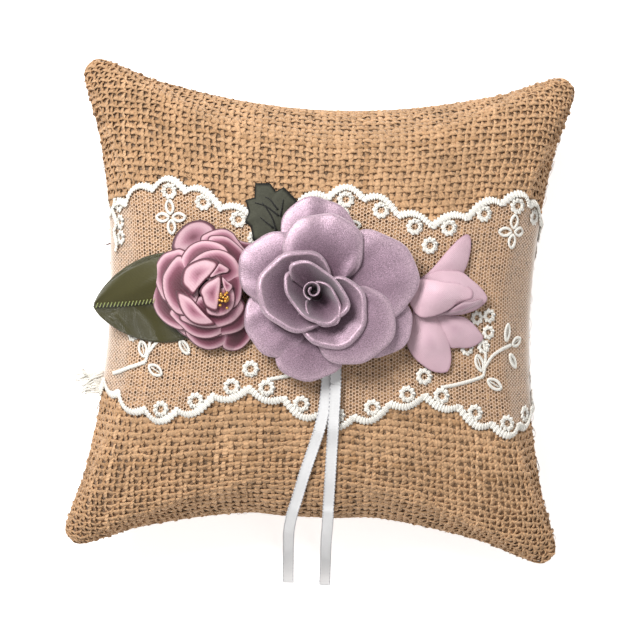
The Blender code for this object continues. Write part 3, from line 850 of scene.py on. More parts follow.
# the weave: half a thread's height, how deep it lies, and the rise and fall of weft and warp
THREAD_HALF_HEIGHT, WEAVE_DEPTH, WEFT_RISE, WARP_RISE = 0.00034, 0.00046, 0.00026, 0.00030
# the step outwards by which a surface's outward direction is measured
OUTWARD_STEP = 0.001


def face_at(a, b, side, lift):
    """Points and outward directions of a face at a, b and a lift over it."""
    point = shell(a, b, side, lift)
    return point, unit(shell(a, b, side, lift + OUTWARD_STEP) - point)


def weave(build, side, rows, columns, half, along_rows, steps, sides, rng):
    """Threads of one direction. Along a row the lift is the cosine of pi times the column it crosses, with
    the next row's turned over; a column does the opposite, so that they pass over and under each other. Each
    thread drifts sideways and swells by sines of the thread it crosses, with phases of its own."""
    threads, crossings = (rows, columns) if along_rows else (columns, rows)
    samples = crossings * steps + 1
    run = np.linspace(0, crossings, samples)[None]
    index = np.arange(threads)[:, None]
    phase = rng.uniform(0, TAU, (4, threads, 1))
    drift = 0.12 * np.sin(TAU * run / 11 + phase[0]) + 0.06 * np.sin(TAU * run / 4.3 + phase[1])
    across = np.clip((index + 0.5 + drift) / threads, 0.003, 0.997)
    along = np.broadcast_to(run / crossings, across.shape)
    c, d = (along, across) if along_rows else (across, along)
    a, b = cloth_place(c, d)
    over = np.cos(math.pi * (run - 0.5) + math.pi * index) * (1 if along_rows else -1)
    rise = WEFT_RISE if along_rows else WARP_RISE
    path, outward = face_at(a, b, side, -WEAVE_DEPTH + rise * over)
    slub = 1 + 0.16 * np.sin(TAU * run / 7.3 + phase[2]) + 0.12 * np.sin(TAU * run / 2.9 + phase[3])
    slub *= rng.uniform(0.86, 1.12, (threads, 1))
    pinch = 1 + 0.10 * over
    tint = np.clip(rng.normal(0.45, 0.17, threads), 0, 1)
    tubes(build, path, outward, half * slub * pinch, THREAD_HALF_HEIGHT * slub, sides, tint)


FIBRE_HALF, FIBRE_POINTS = 0.00006, 7
SEAM_POINTS, SEAM_STITCH, SEAM_RISE, SEAM_INSET = 220, 11, 0.0003, 0.0003
SEAM_HALF_WIDTH, SEAM_HALF_HEIGHT = 0.00042, 0.00036


class PILLOW_OT_burlap(Operator):
    """Weaves the jute threads of both faces, with slubs and stray fibres"""

    bl_idname = "pillow.burlap"
    bl_label = "Burlap"

    def execute(self, context):
        sizes, colours = context.scene.pillow_sizes, context.scene.pillow_colours
        rng = np.random.default_rng(SEED)
        material = jute_material("burlap_thread", tuple(colours.burlap))
        kinds = ((True, "weft", sizes.row_width), (False, "warp", sizes.column_width))
        for side, word, steps, ring in ((1, "front", 3, 5), (-1, "back", 2, 4)):
            for along_rows, kind, width in kinds:
                build = Build()
                weave(build, side, sizes.rows, sizes.columns, width / 2, along_rows, steps, ring, rng)
                obj = build.make(f"burlap_{word}_{kind}", material)
        self.fibres(sizes.fibres, material, rng)
        self.seam(material)
        return {"FINISHED"}

    def fibres(self, count, material, rng):
        """Stray fibres: short arcs whose lift is a half sine, thrown in all directions on both faces."""
        t = np.linspace(0, 1, FIBRE_POINTS)[None]
        for side, word, share in ((1, "front", 0.7), (-1, "back", 0.3)):
            n = int(count * share)
            c, d = rng.uniform(0.01, 0.99, (2, n, 1))
            rim = rng.random((n, 1)) < 0.3
            c = np.where(rim, np.where(rng.random((n, 1)) < 0.5, 0.004, 0.996), c)
            heading, bend = rng.uniform(0, TAU, (n, 1)), rng.uniform(-2.4, 2.4, (n, 1))
            length = rng.uniform(0.012, 0.045, (n, 1))
            turn = heading + bend * (t - 0.5)
            c = np.clip(c + np.cumsum(np.cos(turn) * length / FIBRE_POINTS, axis=1), 0.0, 1.0)
            d = np.clip(d + np.cumsum(np.sin(turn) * length / FIBRE_POINTS, axis=1), 0.0, 1.0)
            a, b = cloth_place(c, d)
            lift = 0.0001 + rng.uniform(0.0001, 0.0009, (n, 1)) * np.sin(math.pi * t)
            path, outward = face_at(a, b, side, lift)
            build = Build()
            tint = np.clip(rng.normal(0.75, 0.2, n), 0, 1)
            tubes(build, path, outward, FIBRE_HALF, FIBRE_HALF, 3, tint)
            build.make(f"stray_fibres_{word}", material)

    def seam(self, material):
        """The sewn edge: one thread round the outline at seam height, which rises and falls by a sine."""
        t = np.linspace(-1, 1, SEAM_POINTS + 1)[:-1]
        one = np.ones_like(t)
        a = np.concatenate([t, one, -t, -one])
        b = np.concatenate([-one, t, one, -t])
        path = shell(a, b, 1, -SEAM_INSET)
        path[:, 2] = SEAM_HEIGHT + SEAM_RISE * np.sin(np.arange(len(a)) * TAU / SEAM_STITCH)
        outward = np.stack([a, b, 0 * a], -1) + (0, 0, 1e-3)
        build = Build()
        tubes(build, path, unit(outward), SEAM_HALF_WIDTH, SEAM_HALF_HEIGHT, 6, 0.3, closed=True)
        obj = build.make("seam_stitches", material)
        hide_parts("seam_thread")


# ------------------------------------------------------------------ lace


BAND_MIDDLE = 0.0012
WAVE_CREST, WAVE_PERIOD, WAVES_ROUND = 0.0059, 0.0508, 6
LOBES, LOBE_RISE, LOBE_MIDDLE, EDGE_INSET = 5, 0.0026, 0.7, 0.0008
# heights of the net, its embroidery and its edge over the pillow, and the half height of what is stitched
NET_LIFT, EDGE_LIFT, RING_LIFT, STEM_LIFT = 0.00042, 0.00075, 0.00072, 0.00070
VEIN_LIFT, LAYER_LIFT = 0.0006, 0.0011
EDGE_HALF_HEIGHT, RING_HALF_HEIGHT = 0.00042, 0.00030
NET_STEPS, NET_ROWS, EDGE_STEPS = 480, 29, 1800
# satin stitches along the edge: the pitch and depth of a stitch, and of a slow swell
STITCH_PITCH, STITCH_DEPTH, SWELL_PITCH, SWELL_DEPTH = 0.00085, 0.24, 0.0031, 0.06
TOOTH_SWELL, TOOTH_PUSH = 0.70, 0.30
# insets of the eyelets from the edge: under an arch, and under the point between two
ARCH_INSET, POINT_INSET = 0.0036, 0.0056
CROSS_INSET, CROSS_TURN = 0.0112, 0.05
# a cross's four loops: quarter turns by half and how far out each loop's middle is
CROSS_LOOPS = ((0.0, 0.0026), (0.5, 0.0030), (1.0, 0.0026), (1.5, 0.0028))
# a sprig in millimetres from its root: stems with their half widths, leaf loops and eyelets
SPRIG_INSET = 0.0052
SPRIG_STEMS = (
    (((5.0, -2.6), (9.5, -1.6), (14.5, -0.2), (18.4, 1.2)), 0.00066),
    (((18.4, 1.2), (18.9, 3.4), (19.2, 5.6), (19.2, 8.2), (18.6, 11.0)), 0.00060),
    (((19.0, 3.8), (21.6, 7.2), (25.4, 9.3), (29.4, 10.6)), 0.00062),
    (((18.0, 11.2), (15.6, 12.4), (13.2, 11.6)), 0.00052),
)
# x, y, angle, half length and half width
SPRIG_LOOPS = (
    (17.2, 5.0, 1.9, 2.3, 1.15), (22.0, -1.0, -0.5, 2.4, 1.25), (27.4, 14.2, 1.45, 2.4, 1.0),
    (30.4, 6.0, -0.9, 2.3, 1.0), (32.2, 11.6, 0.4, 2.2, 1.1),
)
SPRIG_EYELETS = ((18.6, 9.8), (20.1, 14.0), (20.2, 18.8), (16.2, 18.0), (13.2, 9.0), (12.4, 12.6))
STEM_STEPS, VEIN_SHARE = 34, 0.7
# the second layer at the left side, and its eyelets
LAYER_TOP, LAYER_BOTTOM, LAYER_STEPS, LAYER_OUT = 0.0302, 0.0150, 90, 0.0098
LAYER_EYELETS, LAYER_EYELET_OUT = (0.0285, 0.0235, 0.0190), 0.0128
TUFT_THREADS, TUFT_STEPS, TUFT_ROOT = 22, 13, (-0.0652, -0.0240, 0.0262)


def band_shell(turn, y, grow):
    """The band's surface at a turn round the pillow and a height y across it: a is the cosine of the turn,
    the front while its sine is positive and the back while it is negative."""
    turn, y, grow = same_shape(turn, y, grow)
    a = np.cos(turn)
    b = y / (PILLOW_DEPTH / 2 - SIDE_PULL_Y * (1 - a * a))
    seam = SEAM_GAP / 2 * np.minimum(1, 5 * np.abs(np.sin(turn)))
    front = shell(a, b, 1, grow, seam)
    back = shell(a, b, -1, grow, seam)
    return np.where((np.sin(turn) >= 0)[..., None], front, back)


def band_table():
    """Running length round the band's middle against the turn, from the left seam over the front and back."""
    turn = np.linspace(math.pi, -math.pi, 1441)
    path = band_shell(turn, BAND_MIDDLE, BAND_EASE)
    run = np.concatenate([[0], np.cumsum(np.linalg.norm(np.diff(path, axis=0), axis=1))])
    centre = np.interp(0.0, -turn + math.pi / 2, run)
    return turn, run - centre, run[-1]


def band_layout():
    """The band's running lengths: the table, where the two seams are, and the edge's wave at each seam."""
    turn, run, length = band_table()
    left, right = run[0], np.interp(0.0, -turn, run)
    first = (left - WAVE_CREST) / WAVE_PERIOD
    second = (right - WAVE_CREST) / WAVE_PERIOD
    return {
        "turn": turn,
        "run": run,
        "length": length,
        "left": left,
        "phase_run": np.array([left, right, left + length]),
        "phase": np.array([first, second, first + WAVES_ROUND]),
    }


def band_edge(layout, run, upper):
    """y of the lace edge: a slow cosine, plus the size of a faster sine, whose arches meet in points."""
    phase = np.interp(run, layout["phase_run"], layout["phase"])
    y = BAND_WAVE * np.cos(TAU * phase)
    y = y + LOBE_RISE * (np.abs(np.sin(math.pi * (LOBES * phase + 0.5))) - LOBE_MIDDLE)
    return BAND_HIGH - EDGE_INSET + y if upper else BAND_LOW + EDGE_INSET - y


def band_at(layout, run, y, grow):
    """Points and outward directions of the band at a running length and a height across it."""
    length = layout["length"]
    wrapped = (run - layout["left"]) % length + layout["left"]
    turn = np.interp(wrapped, layout["run"], layout["turn"])
    point = band_shell(turn, y, grow)
    return point, unit(band_shell(turn, y, np.asarray(grow) + OUTWARD_STEP) - point)


class PILLOW_OT_lace(Operator):
    """Makes the net band round the pillow with its embroidered edges, eyelets, crosses and sprigs"""

    bl_idname = "pillow.lace"
    bl_label = "Lace band"

    def execute(self, context):
        sizes, colours = context.scene.pillow_sizes, context.scene.pillow_colours
        layout = band_layout()
        lace = embroidery_material("lace_embroidery", tuple(colours.lace))
        net = self.net(layout, net_material("lace_net", sizes.net_pitch))
        extras = [
            self.edges(layout, lace, sizes.cord_width / 2),
            self.eyelets(layout, lace),
            self.sprigs(layout, lace),
            self.tuft(lace),
            self.side_layer(layout, lace),
        ]
        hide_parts("lace_band")
        return {"FINISHED"}

    def net(self, layout, material):
        """The net: a grid of running length by share of the way between the edges."""
        run = np.linspace(layout["left"], layout["left"] + layout["length"], NET_STEPS + 1)[:-1, None]
        share = np.linspace(0, 1, NET_ROWS)[None]
        low, high = band_edge(layout, run, False), band_edge(layout, run, True)
        y = low + (high - low) * share
        points, _ = band_at(layout, run, y, NET_LIFT)
        uv = np.stack([np.broadcast_to(run, y.shape), y], -1)
        build = Build()
        build.add(points, grid_quads(NET_STEPS, NET_ROWS, close_rows=True), uv)
        return build.make("lace_net", material)

    def edges(self, layout, material, half):
        """Edge cords: an oval tube along each edge, ridged by a sine of its length like satin stitch."""
        build = Build()
        run = np.linspace(layout["left"], layout["left"] + layout["length"], EDGE_STEPS + 1)[:-1]
        stitches = STITCH_DEPTH * np.sin(TAU * run / STITCH_PITCH)
        ridge = 1 + stitches + SWELL_DEPTH * np.sin(TAU * run / SWELL_PITCH)
        for upper in (True, False):
            y = band_edge(layout, run, upper)
            path, outward = band_at(layout, run, y, EDGE_LIFT)
            tubes(build, path, outward, half * ridge, EDGE_HALF_HEIGHT * ridge, 8, closed=True)
        return build.make("lace_edging", material)

    def ring(self, build, layout, run, y, angle, long, wide, half, teeth=0, samples=48, tip=1.0):
        """A stitched ring: an ellipse round run, y whose tube swells and moves out by a cosine for each
        tooth. With a tip above 1 its two ends are pointed."""
        t = np.arange(samples) * TAU / samples
        u, v = long * np.cos(t), wide * np.sin(t) * np.abs(np.sin(t)) ** (tip - 1)
        ca, sa = math.cos(angle), math.sin(angle)
        swell = 1 + (TOOTH_SWELL * np.cos(teeth * t) if teeth else 0)
        push = 1 + (TOOTH_PUSH * np.cos(teeth * t) if teeth else 0)
        ring_run, ring_y = run + (u * ca - v * sa) * push, y + (u * sa + v * ca) * push
        path, outward = band_at(layout, ring_run, ring_y, RING_LIFT)
        tubes(build, path, outward, half * swell, RING_HALF_HEIGHT, 6, closed=True)

    def eyelets(self, layout, material):
        """An eyelet under each small arch of both edges, and one more below each point where arches meet."""
        build = Build()
        phases = np.arange(-LOBES, LOBES * (WAVES_ROUND + 1)) / LOBES
        spots = [(p, ARCH_INSET) for p in phases]
        spots += [(p + 0.5, POINT_INSET) for p in range(-1, WAVES_ROUND + 1)]
        first, last = layout["phase"][0], layout["phase"][-1]
        for phase, inset in spots:
            if not first <= phase < last:
                continue
            run = np.interp(phase, layout["phase"], layout["phase_run"])
            for upper in (True, False):
                y = band_edge(layout, run, upper) + (-inset if upper else inset)
                self.ring(build, layout, run, y, 0.3 * upper, 0.00150, 0.00150, 0.00052, teeth=9, samples=72)
        return build.make("lace_eyelets", material)

    def sprigs(self, layout, material):
        """Crosses under the upper crests, and a branching sprig that grows from each lower inner point."""
        build = Build()
        first, last = layout["phase"][0], layout["phase"][-1]
        for k in range(-2, WAVES_ROUND):
            if first + 0.1 < k < last - 0.1:
                self.cross(build, layout, np.interp(k, layout["phase"], layout["phase_run"]))
            trough = k + 0.5
            if not first < trough + 0.35 < last - 0.15:
                continue
            root = np.interp(trough, layout["phase"], layout["phase_run"])
            if trough <= first:
                root = layout["left"] - (first - trough) * WAVE_PERIOD
            self.sprig(build, layout, root, band_edge(layout, root, False) + SPRIG_INSET)
        return build.make("lace_sprigs", material)

    def cross(self, build, layout, crest):
        """A cross of four pointed loops under an upper crest."""
        y = band_edge(layout, crest, True) - CROSS_INSET
        for turn, reach in CROSS_LOOPS:
            angle = math.pi * turn + CROSS_TURN
            self.ring(
                build, layout, crest + reach * math.cos(angle), y + reach * math.sin(angle), angle,
                0.0019, 0.0011, 0.00052, samples=28, tip=1.4,
            )

    def sprig(self, build, layout, root, y0):
        """One sprig: stems that swell by a sine, pointed leaf loops with veins, and a spray of eyelets."""
        wave = 1 + 0.18 * np.sin(np.arange(STEM_STEPS) * TAU / 3.1)
        for points, half in SPRIG_STEMS:
            stem = smooth_path(np.array(points) * MM, STEM_STEPS)
            path, outward = band_at(layout, root + stem[:, 0], y0 + stem[:, 1], STEM_LIFT)
            tubes(build, path, outward, half * wave, RING_HALF_HEIGHT, 6)
        for x, y, angle, long, wide in SPRIG_LOOPS:
            self.ring(
                build, layout, root + x * MM, y0 + y * MM, angle, long * MM, wide * MM, 0.00052,
                samples=30, tip=1.4,
            )
            along = np.linspace(-long, long, 8) * VEIN_SHARE
            vein_run = root + (x + math.cos(angle) * along) * MM
            vein, outward = band_at(layout, vein_run, y0 + (y + math.sin(angle) * along) * MM, VEIN_LIFT)
            tubes(build, vein, outward, 0.00026, 0.00020, 4)
        for x, y in SPRIG_EYELETS:
            self.ring(build, layout, root + x * MM, y0 + y * MM, 0.2, 0.00125, 0.00125, 0.00048, teeth=8)

    def side_layer(self, layout, material):
        """The lace end sewn down the left side: a cord that waves in small arches, with eyelets beside it."""
        y = np.linspace(LAYER_TOP, LAYER_BOTTOM, LAYER_STEPS)
        arches = 0.0010 * np.abs(np.sin((y - 0.033) * 520)) + 0.0004 * np.sin(y * 900)
        path, outward = band_at(layout, layout["left"] + LAYER_OUT + arches, y, LAYER_LIFT)
        ridge = 1 + 0.20 * np.sin(np.arange(LAYER_STEPS) * TAU / 4.1)
        build = Build()
        tubes(build, path, outward, 0.00095 * ridge, EDGE_HALF_HEIGHT * ridge, 6)
        for y in LAYER_EYELETS:
            run = layout["left"] + LAYER_EYELET_OUT
            self.ring(build, layout, run, y, 0.3, 0.0012, 0.0013, 0.00056, teeth=8)
        return build.make("lace_side_layer", material)

    def tuft(self, material):
        """The frayed end of the lace: threads that fan out from the seam, each waving by a sine of its
        length."""
        rng = np.random.default_rng(SEED + 2)
        each = (TUFT_THREADS, 1)
        t = np.linspace(0, 1, TUFT_STEPS)[None]
        heading = np.linspace(2.55, 3.95, TUFT_THREADS)[:, None]
        length = rng.uniform(0.0055, 0.0088, each)
        wave = 0.0005 * np.sin(t * rng.uniform(5, 9, each) + rng.uniform(0, TAU, each)) * t
        root_y = TUFT_ROOT[1] + 0.0030 * np.cos(heading * 4) * (1 - t)
        x = TUFT_ROOT[0] + np.cos(heading) * length * t - np.sin(heading) * wave
        y = root_y + np.sin(heading) * length * t * 0.75 + np.cos(heading) * wave
        z = TUFT_ROOT[2] + rng.uniform(-0.0012, 0.0012, each) * t + 0.0008 * np.sin(math.pi * t)
        build = Build()
        outward = np.broadcast_to(UPWARDS, (TUFT_THREADS, TUFT_STEPS, 3))
        tubes(build, np.stack([x, y, z], -1), outward, 0.00042 * (1.1 - 0.4 * t), RING_HALF_HEIGHT, 5)
        return build.make("lace_tuft", material)


# ------------------------------------------------------------------ flowers


def stand_on_pillow(points, x, y, lift):
    """Flower points turned so that their up is square to the pillow's slope at x, y, and moved there."""
    step = 0.0005
    slope_x = (front_height(x + step, y) - front_height(x - step, y)) / (2 * step)
    slope_y = (front_height(x, y + step) - front_height(x, y - step)) / (2 * step)
    up = Vector((-float(slope_x), -float(slope_y), 1.0)).normalized()
    turn = np.array(Vector(UPWARDS).rotation_difference(up).to_matrix())
    return points @ turn.T + np.array([x, y, float(front_height(x, y)) + lift])


PETAL_FOOT, PETAL_ACROSS, PETAL_UP = 0.0016, 49, 25
# how far a petal's two ends are tucked in and down, and how far round its rim rolls
TUCK_IN, TUCK_DOWN, ROLL_TURN, ROLL_STEPS = 0.10, 0.28, 3.6, 8


def cup_petal(
    build, stand, axis, centre, radius, heading, span, heights, belly,
    pinwheel, roll, ruffle, seed, oval, oval_axis,
):
    """One petal. Its rim is an arc of a circle about centre, waved by two sines and drawn in by the sixth
    power towards its ends; each line from the flower's axis to the rim runs along a quadratic curve in plan
    and height, and past the rim it turns down on a small circle. An oval above 1 stretches the rim along its
    own axis, and a pinwheel raises one end and lowers the other."""
    across, up = PETAL_ACROSS, PETAL_UP
    s = np.linspace(-1, 1, across)[:, None]
    v = np.linspace(0, 1, up)[None]
    e = np.array([math.cos(heading), math.sin(heading)])
    t = np.array([-e[1], e[0]])
    phi = s * span
    wavy = 1 - TUCK_IN * s**6 + 0.035 * np.sin(3.1 * phi + seed) + 0.02 * np.sin(7.3 * phi + 2 * seed)
    rim_dir = np.cos(phi)[..., None] * e + np.sin(phi)[..., None] * t
    long = np.array([math.cos(oval_axis), math.sin(oval_axis)])
    rim_dir = rim_dir + (oval - 1) * (rim_dir @ long)[..., None] * long
    rim = np.array(centre) + radius * wavy[..., None] * rim_dir
    foot = np.array(axis) + PETAL_FOOT * (np.cos(phi)[..., None] * e + np.sin(phi)[..., None] * t)
    g = 2 * belly * v * (1 - v) + v * v
    plan = foot + (rim - foot) * g[..., None]
    low, mid, top = heights
    ruffles = ruffle * (np.sin(5.2 * phi + seed) + 0.5 * np.sin(9.1 * phi - seed))
    edge = top * (1 - TUCK_DOWN * s**6) + pinwheel * s + ruffles
    z = low * (1 - v) ** 2 + 2 * (mid + 0.6 * pinwheel * s) * v * (1 - v) + edge * v * v
    rows = [np.concatenate([plan, z[..., None]], -1)]
    texture_v = [np.broadcast_to(v * 0.9, (across, up))]
    amount = roll * (1 - 0.55 * np.abs(s) ** 3)
    for k, psi in enumerate(np.linspace(0, ROLL_TURN, ROLL_STEPS + 1)[1:]):
        out = rim + rim_dir * (amount * np.sin(psi))[..., None]
        down = edge - amount * (1 - np.cos(psi))
        rows.append(np.concatenate([out, down[..., None]], -1))
        texture_v.append(np.full((across, 1), 0.9 + 0.1 * (k + 1) / ROLL_STEPS))
    points = np.concatenate(rows, axis=1)
    uv = np.stack([np.broadcast_to(s * 0.5 + 0.5, points.shape[:2]), np.concatenate(texture_v, 1)], -1)
    build.add(stand(points.reshape(-1, 3)), grid_quads(across, points.shape[1], flip=True), uv)


# shares of a shield's rings from its skirt inwards, and its points round the rim or to a side
SHIELD_RINGS = np.concatenate([[0.97, 1.0, 0.985], np.linspace(0.965, 0.04, 18)])[:, None]
SHIELD_ROUND, SHIELD_SIDE = 84, 6


def shield(build, outline, height, droop, fade, tint=0.5, skirt=0.0009, sharp=False):
    """A petal or leaf from its outline in millimetres, smoothed or with sharp corners: rings of the outline
    shrink towards its middle, and a small face closes them. Each ring's height is that of a given surface,
    less the droop times the fourth power of its share; the first ring turns down as a skirt. v is 1 at the
    rim and falls by fade times the way to the middle."""
    corners = np.array(outline) * MM
    if sharp:
        closed = np.concatenate([corners, corners[:1]])
        t = np.linspace(0, len(corners), len(corners) * SHIELD_SIDE + 1)[:-1]
        rim = np.stack([np.interp(t, np.arange(len(closed)), closed[:, i]) for i in (0, 1)], -1)
    else:
        rim = smooth_path(corners, SHIELD_ROUND, closed=True)
    after = np.roll(rim, -1, axis=0)
    if np.sum(rim[:, 0] * after[:, 1] - after[:, 0] * rim[:, 1]) < 0:
        rim = rim[::-1]
    middle = rim.mean(axis=0)
    share = SHIELD_RINGS
    plan = middle + share[..., None] * (rim - middle)
    z = height(plan[..., 0], plan[..., 1]) - droop * share**4
    z[0] -= skirt
    v = np.where(np.arange(len(share))[:, None] == 0, 1.0, 1 - (1 - share) * fade)
    uv = np.stack([(plan[..., 0] + plan[..., 1]) / 0.03, np.broadcast_to(v, z.shape)], -1)
    sides = len(rim)
    quads = grid_quads(len(share), sides, close_cols=True, flip=True)
    build.add(np.concatenate([plan, z[..., None]], -1), quads, uv, tint)
    build.polys.append((build.count - sides + np.arange(sides))[None])


def wall(obj, thickness):
    """Gives a surface its thickness, inwards."""
    thicken = obj.modifiers.new("Thickness", "SOLIDIFY")
    thicken.thickness, thicken.offset = thickness, -1.0
    return obj


ROSE_AXIS = (-0.0033, -0.0016)
ROSE_RUFFLE, ROSE_WALL, BUD_WALL = 0.00022, 0.00035, 0.0004
# shares of the way from a petal's base to its rim, and what the colour is multiplied by there: painted shade
# towards the base, a painted highlight near the rim and painted shade on the rolled-under edge
ROSE_PAINTED_LIGHT = (
    (0.0, (0.30, 0.23, 0.28)), (0.35, (0.50, 0.42, 0.48)), (0.60, (0.78, 0.72, 0.77)),
    (0.78, (1.12, 1.10, 1.12)), (0.89, (1.52, 1.56, 1.52)), (0.955, (1.40, 1.42, 1.40)),
    (1.0, (0.7, 0.64, 0.7)),
)
BUD_TURN, BUD_STEPS, BUD_ROWS = 1.4 * TAU, 90, 16
BUD_OFF, BUD_START, BUD_BOTTOM, BUD_TALL = (-0.0012, 0.0010), 2.0, 0.0040, 0.0094
# name and frame petals it stands for; centre x, y and radius; heading and half span in degrees; heights at
# the base, middle and rim; belly; pinwheel and roll; oval and its axis in degrees; lengths in millimetres
ROSE_PETALS = (
    ("back_top", ("outer_petal_1",), -3.7, 15.6, 11.0, 91, 118, (1.6, 6.2, 3.4), 0.62, 0.4, 0.8, 1.0, 0),
    ("low_right", ("outer_petal_6",), 13.8, -8.2, 10.8, -22, 112, (1.6, 6.0, 3.0), 0.62, 0.5, 0.7, 1.0, 0),
    ("bottom", ("outer_petal_5",), -4.6, -16.0, 10.4, -97, 118, (1.6, 5.8, 2.6), 0.62, -0.5, 0.8, 1.0, 0),
    ("low_left", ("outer_petal_4",), -13.4, -9.4, 10.2, -146, 115, (1.6, 6.2, 3.2), 0.62, 0.5, 0.8, 1.0, 0),
    ("left", ("outer_petal_2", "outer_petal_3"), -14.2, 4.8, 11.2, 152, 118,
        (2.2, 8.2, 5.4), 0.60, 0.6, 1.0, 1.0, 0),
    ("right", ("outer_petal_7",), 11.8, 4.0, 13.2, 18, 120, (2.2, 8.6, 5.4), 0.60, -0.6, 1.3, 1.0, 0),
    ("top", ("middle_petal_1",), -1.9, 10.4, 11.2, 80, 122, (3.0, 10.4, 8.2), 0.58, 0.5, 1.1, 1.0, 0),
    ("front_right", ("middle_petal_2",), 7.2, -9.0, 11.8, -42, 122,
        (2.8, 9.6, 6.8), 0.58, 0.6, 1.1, 1.0, 0),
    ("ring_left", ("middle_petal_3",), -8.2, -1.0, 11.0, 170, 142,
        (3.6, 6.4, 10.4), 0.72, 0.6, 1.5, 1.0, 0),
    ("ring_right", ("inner_petal_1",), 1.0, -6.4, 9.8, -38, 140, (3.6, 6.4, 9.4), 0.70, 0.8, 1.4, 1.0, 0),
    ("fold_upper", ("inner_petal_2",), -3.2, -0.9, 5.7, 50, 118,
        (5.0, 8.6, 13.2), 0.74, 0.6, 0.75, 1.75, -40),
    ("fold_lower", (), -3.9, -2.3, 5.9, 226, 116, (5.0, 8.4, 12.4), 0.74, 0.5, 0.75, 1.60, -38),
    ("coil", ("inner_petal_3",), -1.7, -4.4, 4.6, -30, 150, (5.2, 8.4, 11.8), 0.70, 0.6, 0.7, 1.40, -62),
)


class PILLOW_OT_rose(Operator):
    """Builds the lilac organza rose: wide outer petals with rolled rims, cups and a coiled bud"""

    bl_idname = "pillow.rose"
    bl_label = "Rose"

    def execute(self, context):
        colour = tuple(context.scene.pillow_colours.rose)
        material = petal_material(
            "lilac_organza", colour, ROSE_PAINTED_LIGHT, 1.15, 3600.0, rib=0.06, rib_pitch=0.012,
            Roughness=0.40, Specular_IOR_Level=0.5, Sheen_Weight=0.35, Metallic=0.35,
        )
        lift = BAND_TOP + 2 * RIBBON_THICK + 3 * GAP + ROSE_DISC**2 * 2.0

        def stand(points):
            """Points of the rose moved to its place on the pillow."""
            return stand_on_pillow(points, ROSE_X, ROSE_Y, lift)

        for k, row in enumerate(ROSE_PETALS):
            name, stands_for, x, y, radius, heading, span, heights, belly, pin, roll, oval, axis = row
            build = Build()
            cup_petal(
                build, stand, ROSE_AXIS, (x * MM, y * MM), radius * MM, math.radians(heading),
                math.radians(span), np.array(heights) * MM, belly, pin * MM, roll * MM, ROSE_RUFFLE, k * 1.7,
                oval, math.radians(axis),
            )
            petal = wall(build.make(f"rose_petal_{name}", material), ROSE_WALL)
            if stands_for:
                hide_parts(*(f"rose_{n}" for n in stands_for))
        self.bud(material, stand)
        return {"FINISHED"}

    def bud(self, material, stand):
        """The bud: a strip standing on a spiral whose radius grows with its turn, leaning out at the top."""
        turn = np.linspace(0, BUD_TURN, BUD_STEPS)[:, None]
        v = np.linspace(0, 1, BUD_ROWS)[None]
        radius = 0.0004 + 0.0021 * (turn / BUD_TURN) ** 0.8 + 0.0006 * v**2
        x = ROSE_AXIS[0] + BUD_OFF[0] + radius * np.cos(turn + BUD_START)
        y = ROSE_AXIS[1] + BUD_OFF[1] + radius * np.sin(turn + BUD_START)
        z = BUD_BOTTOM + (BUD_TALL - 0.0012 * turn / BUD_TURN) * v + 0.0004 * np.sin(turn * 1.5) * v
        build = Build()
        uv = np.stack(np.broadcast_arrays(turn / 14, 0.35 + 0.6 * v), -1)
        points = np.stack(np.broadcast_arrays(x, y, z), -1)
        build.add(stand(points.reshape(-1, 3)), grid_quads(BUD_STEPS, BUD_ROWS), uv)
        bud = wall(build.make("rose_bud_coil", material), BUD_WALL)
        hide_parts("rose_bud")


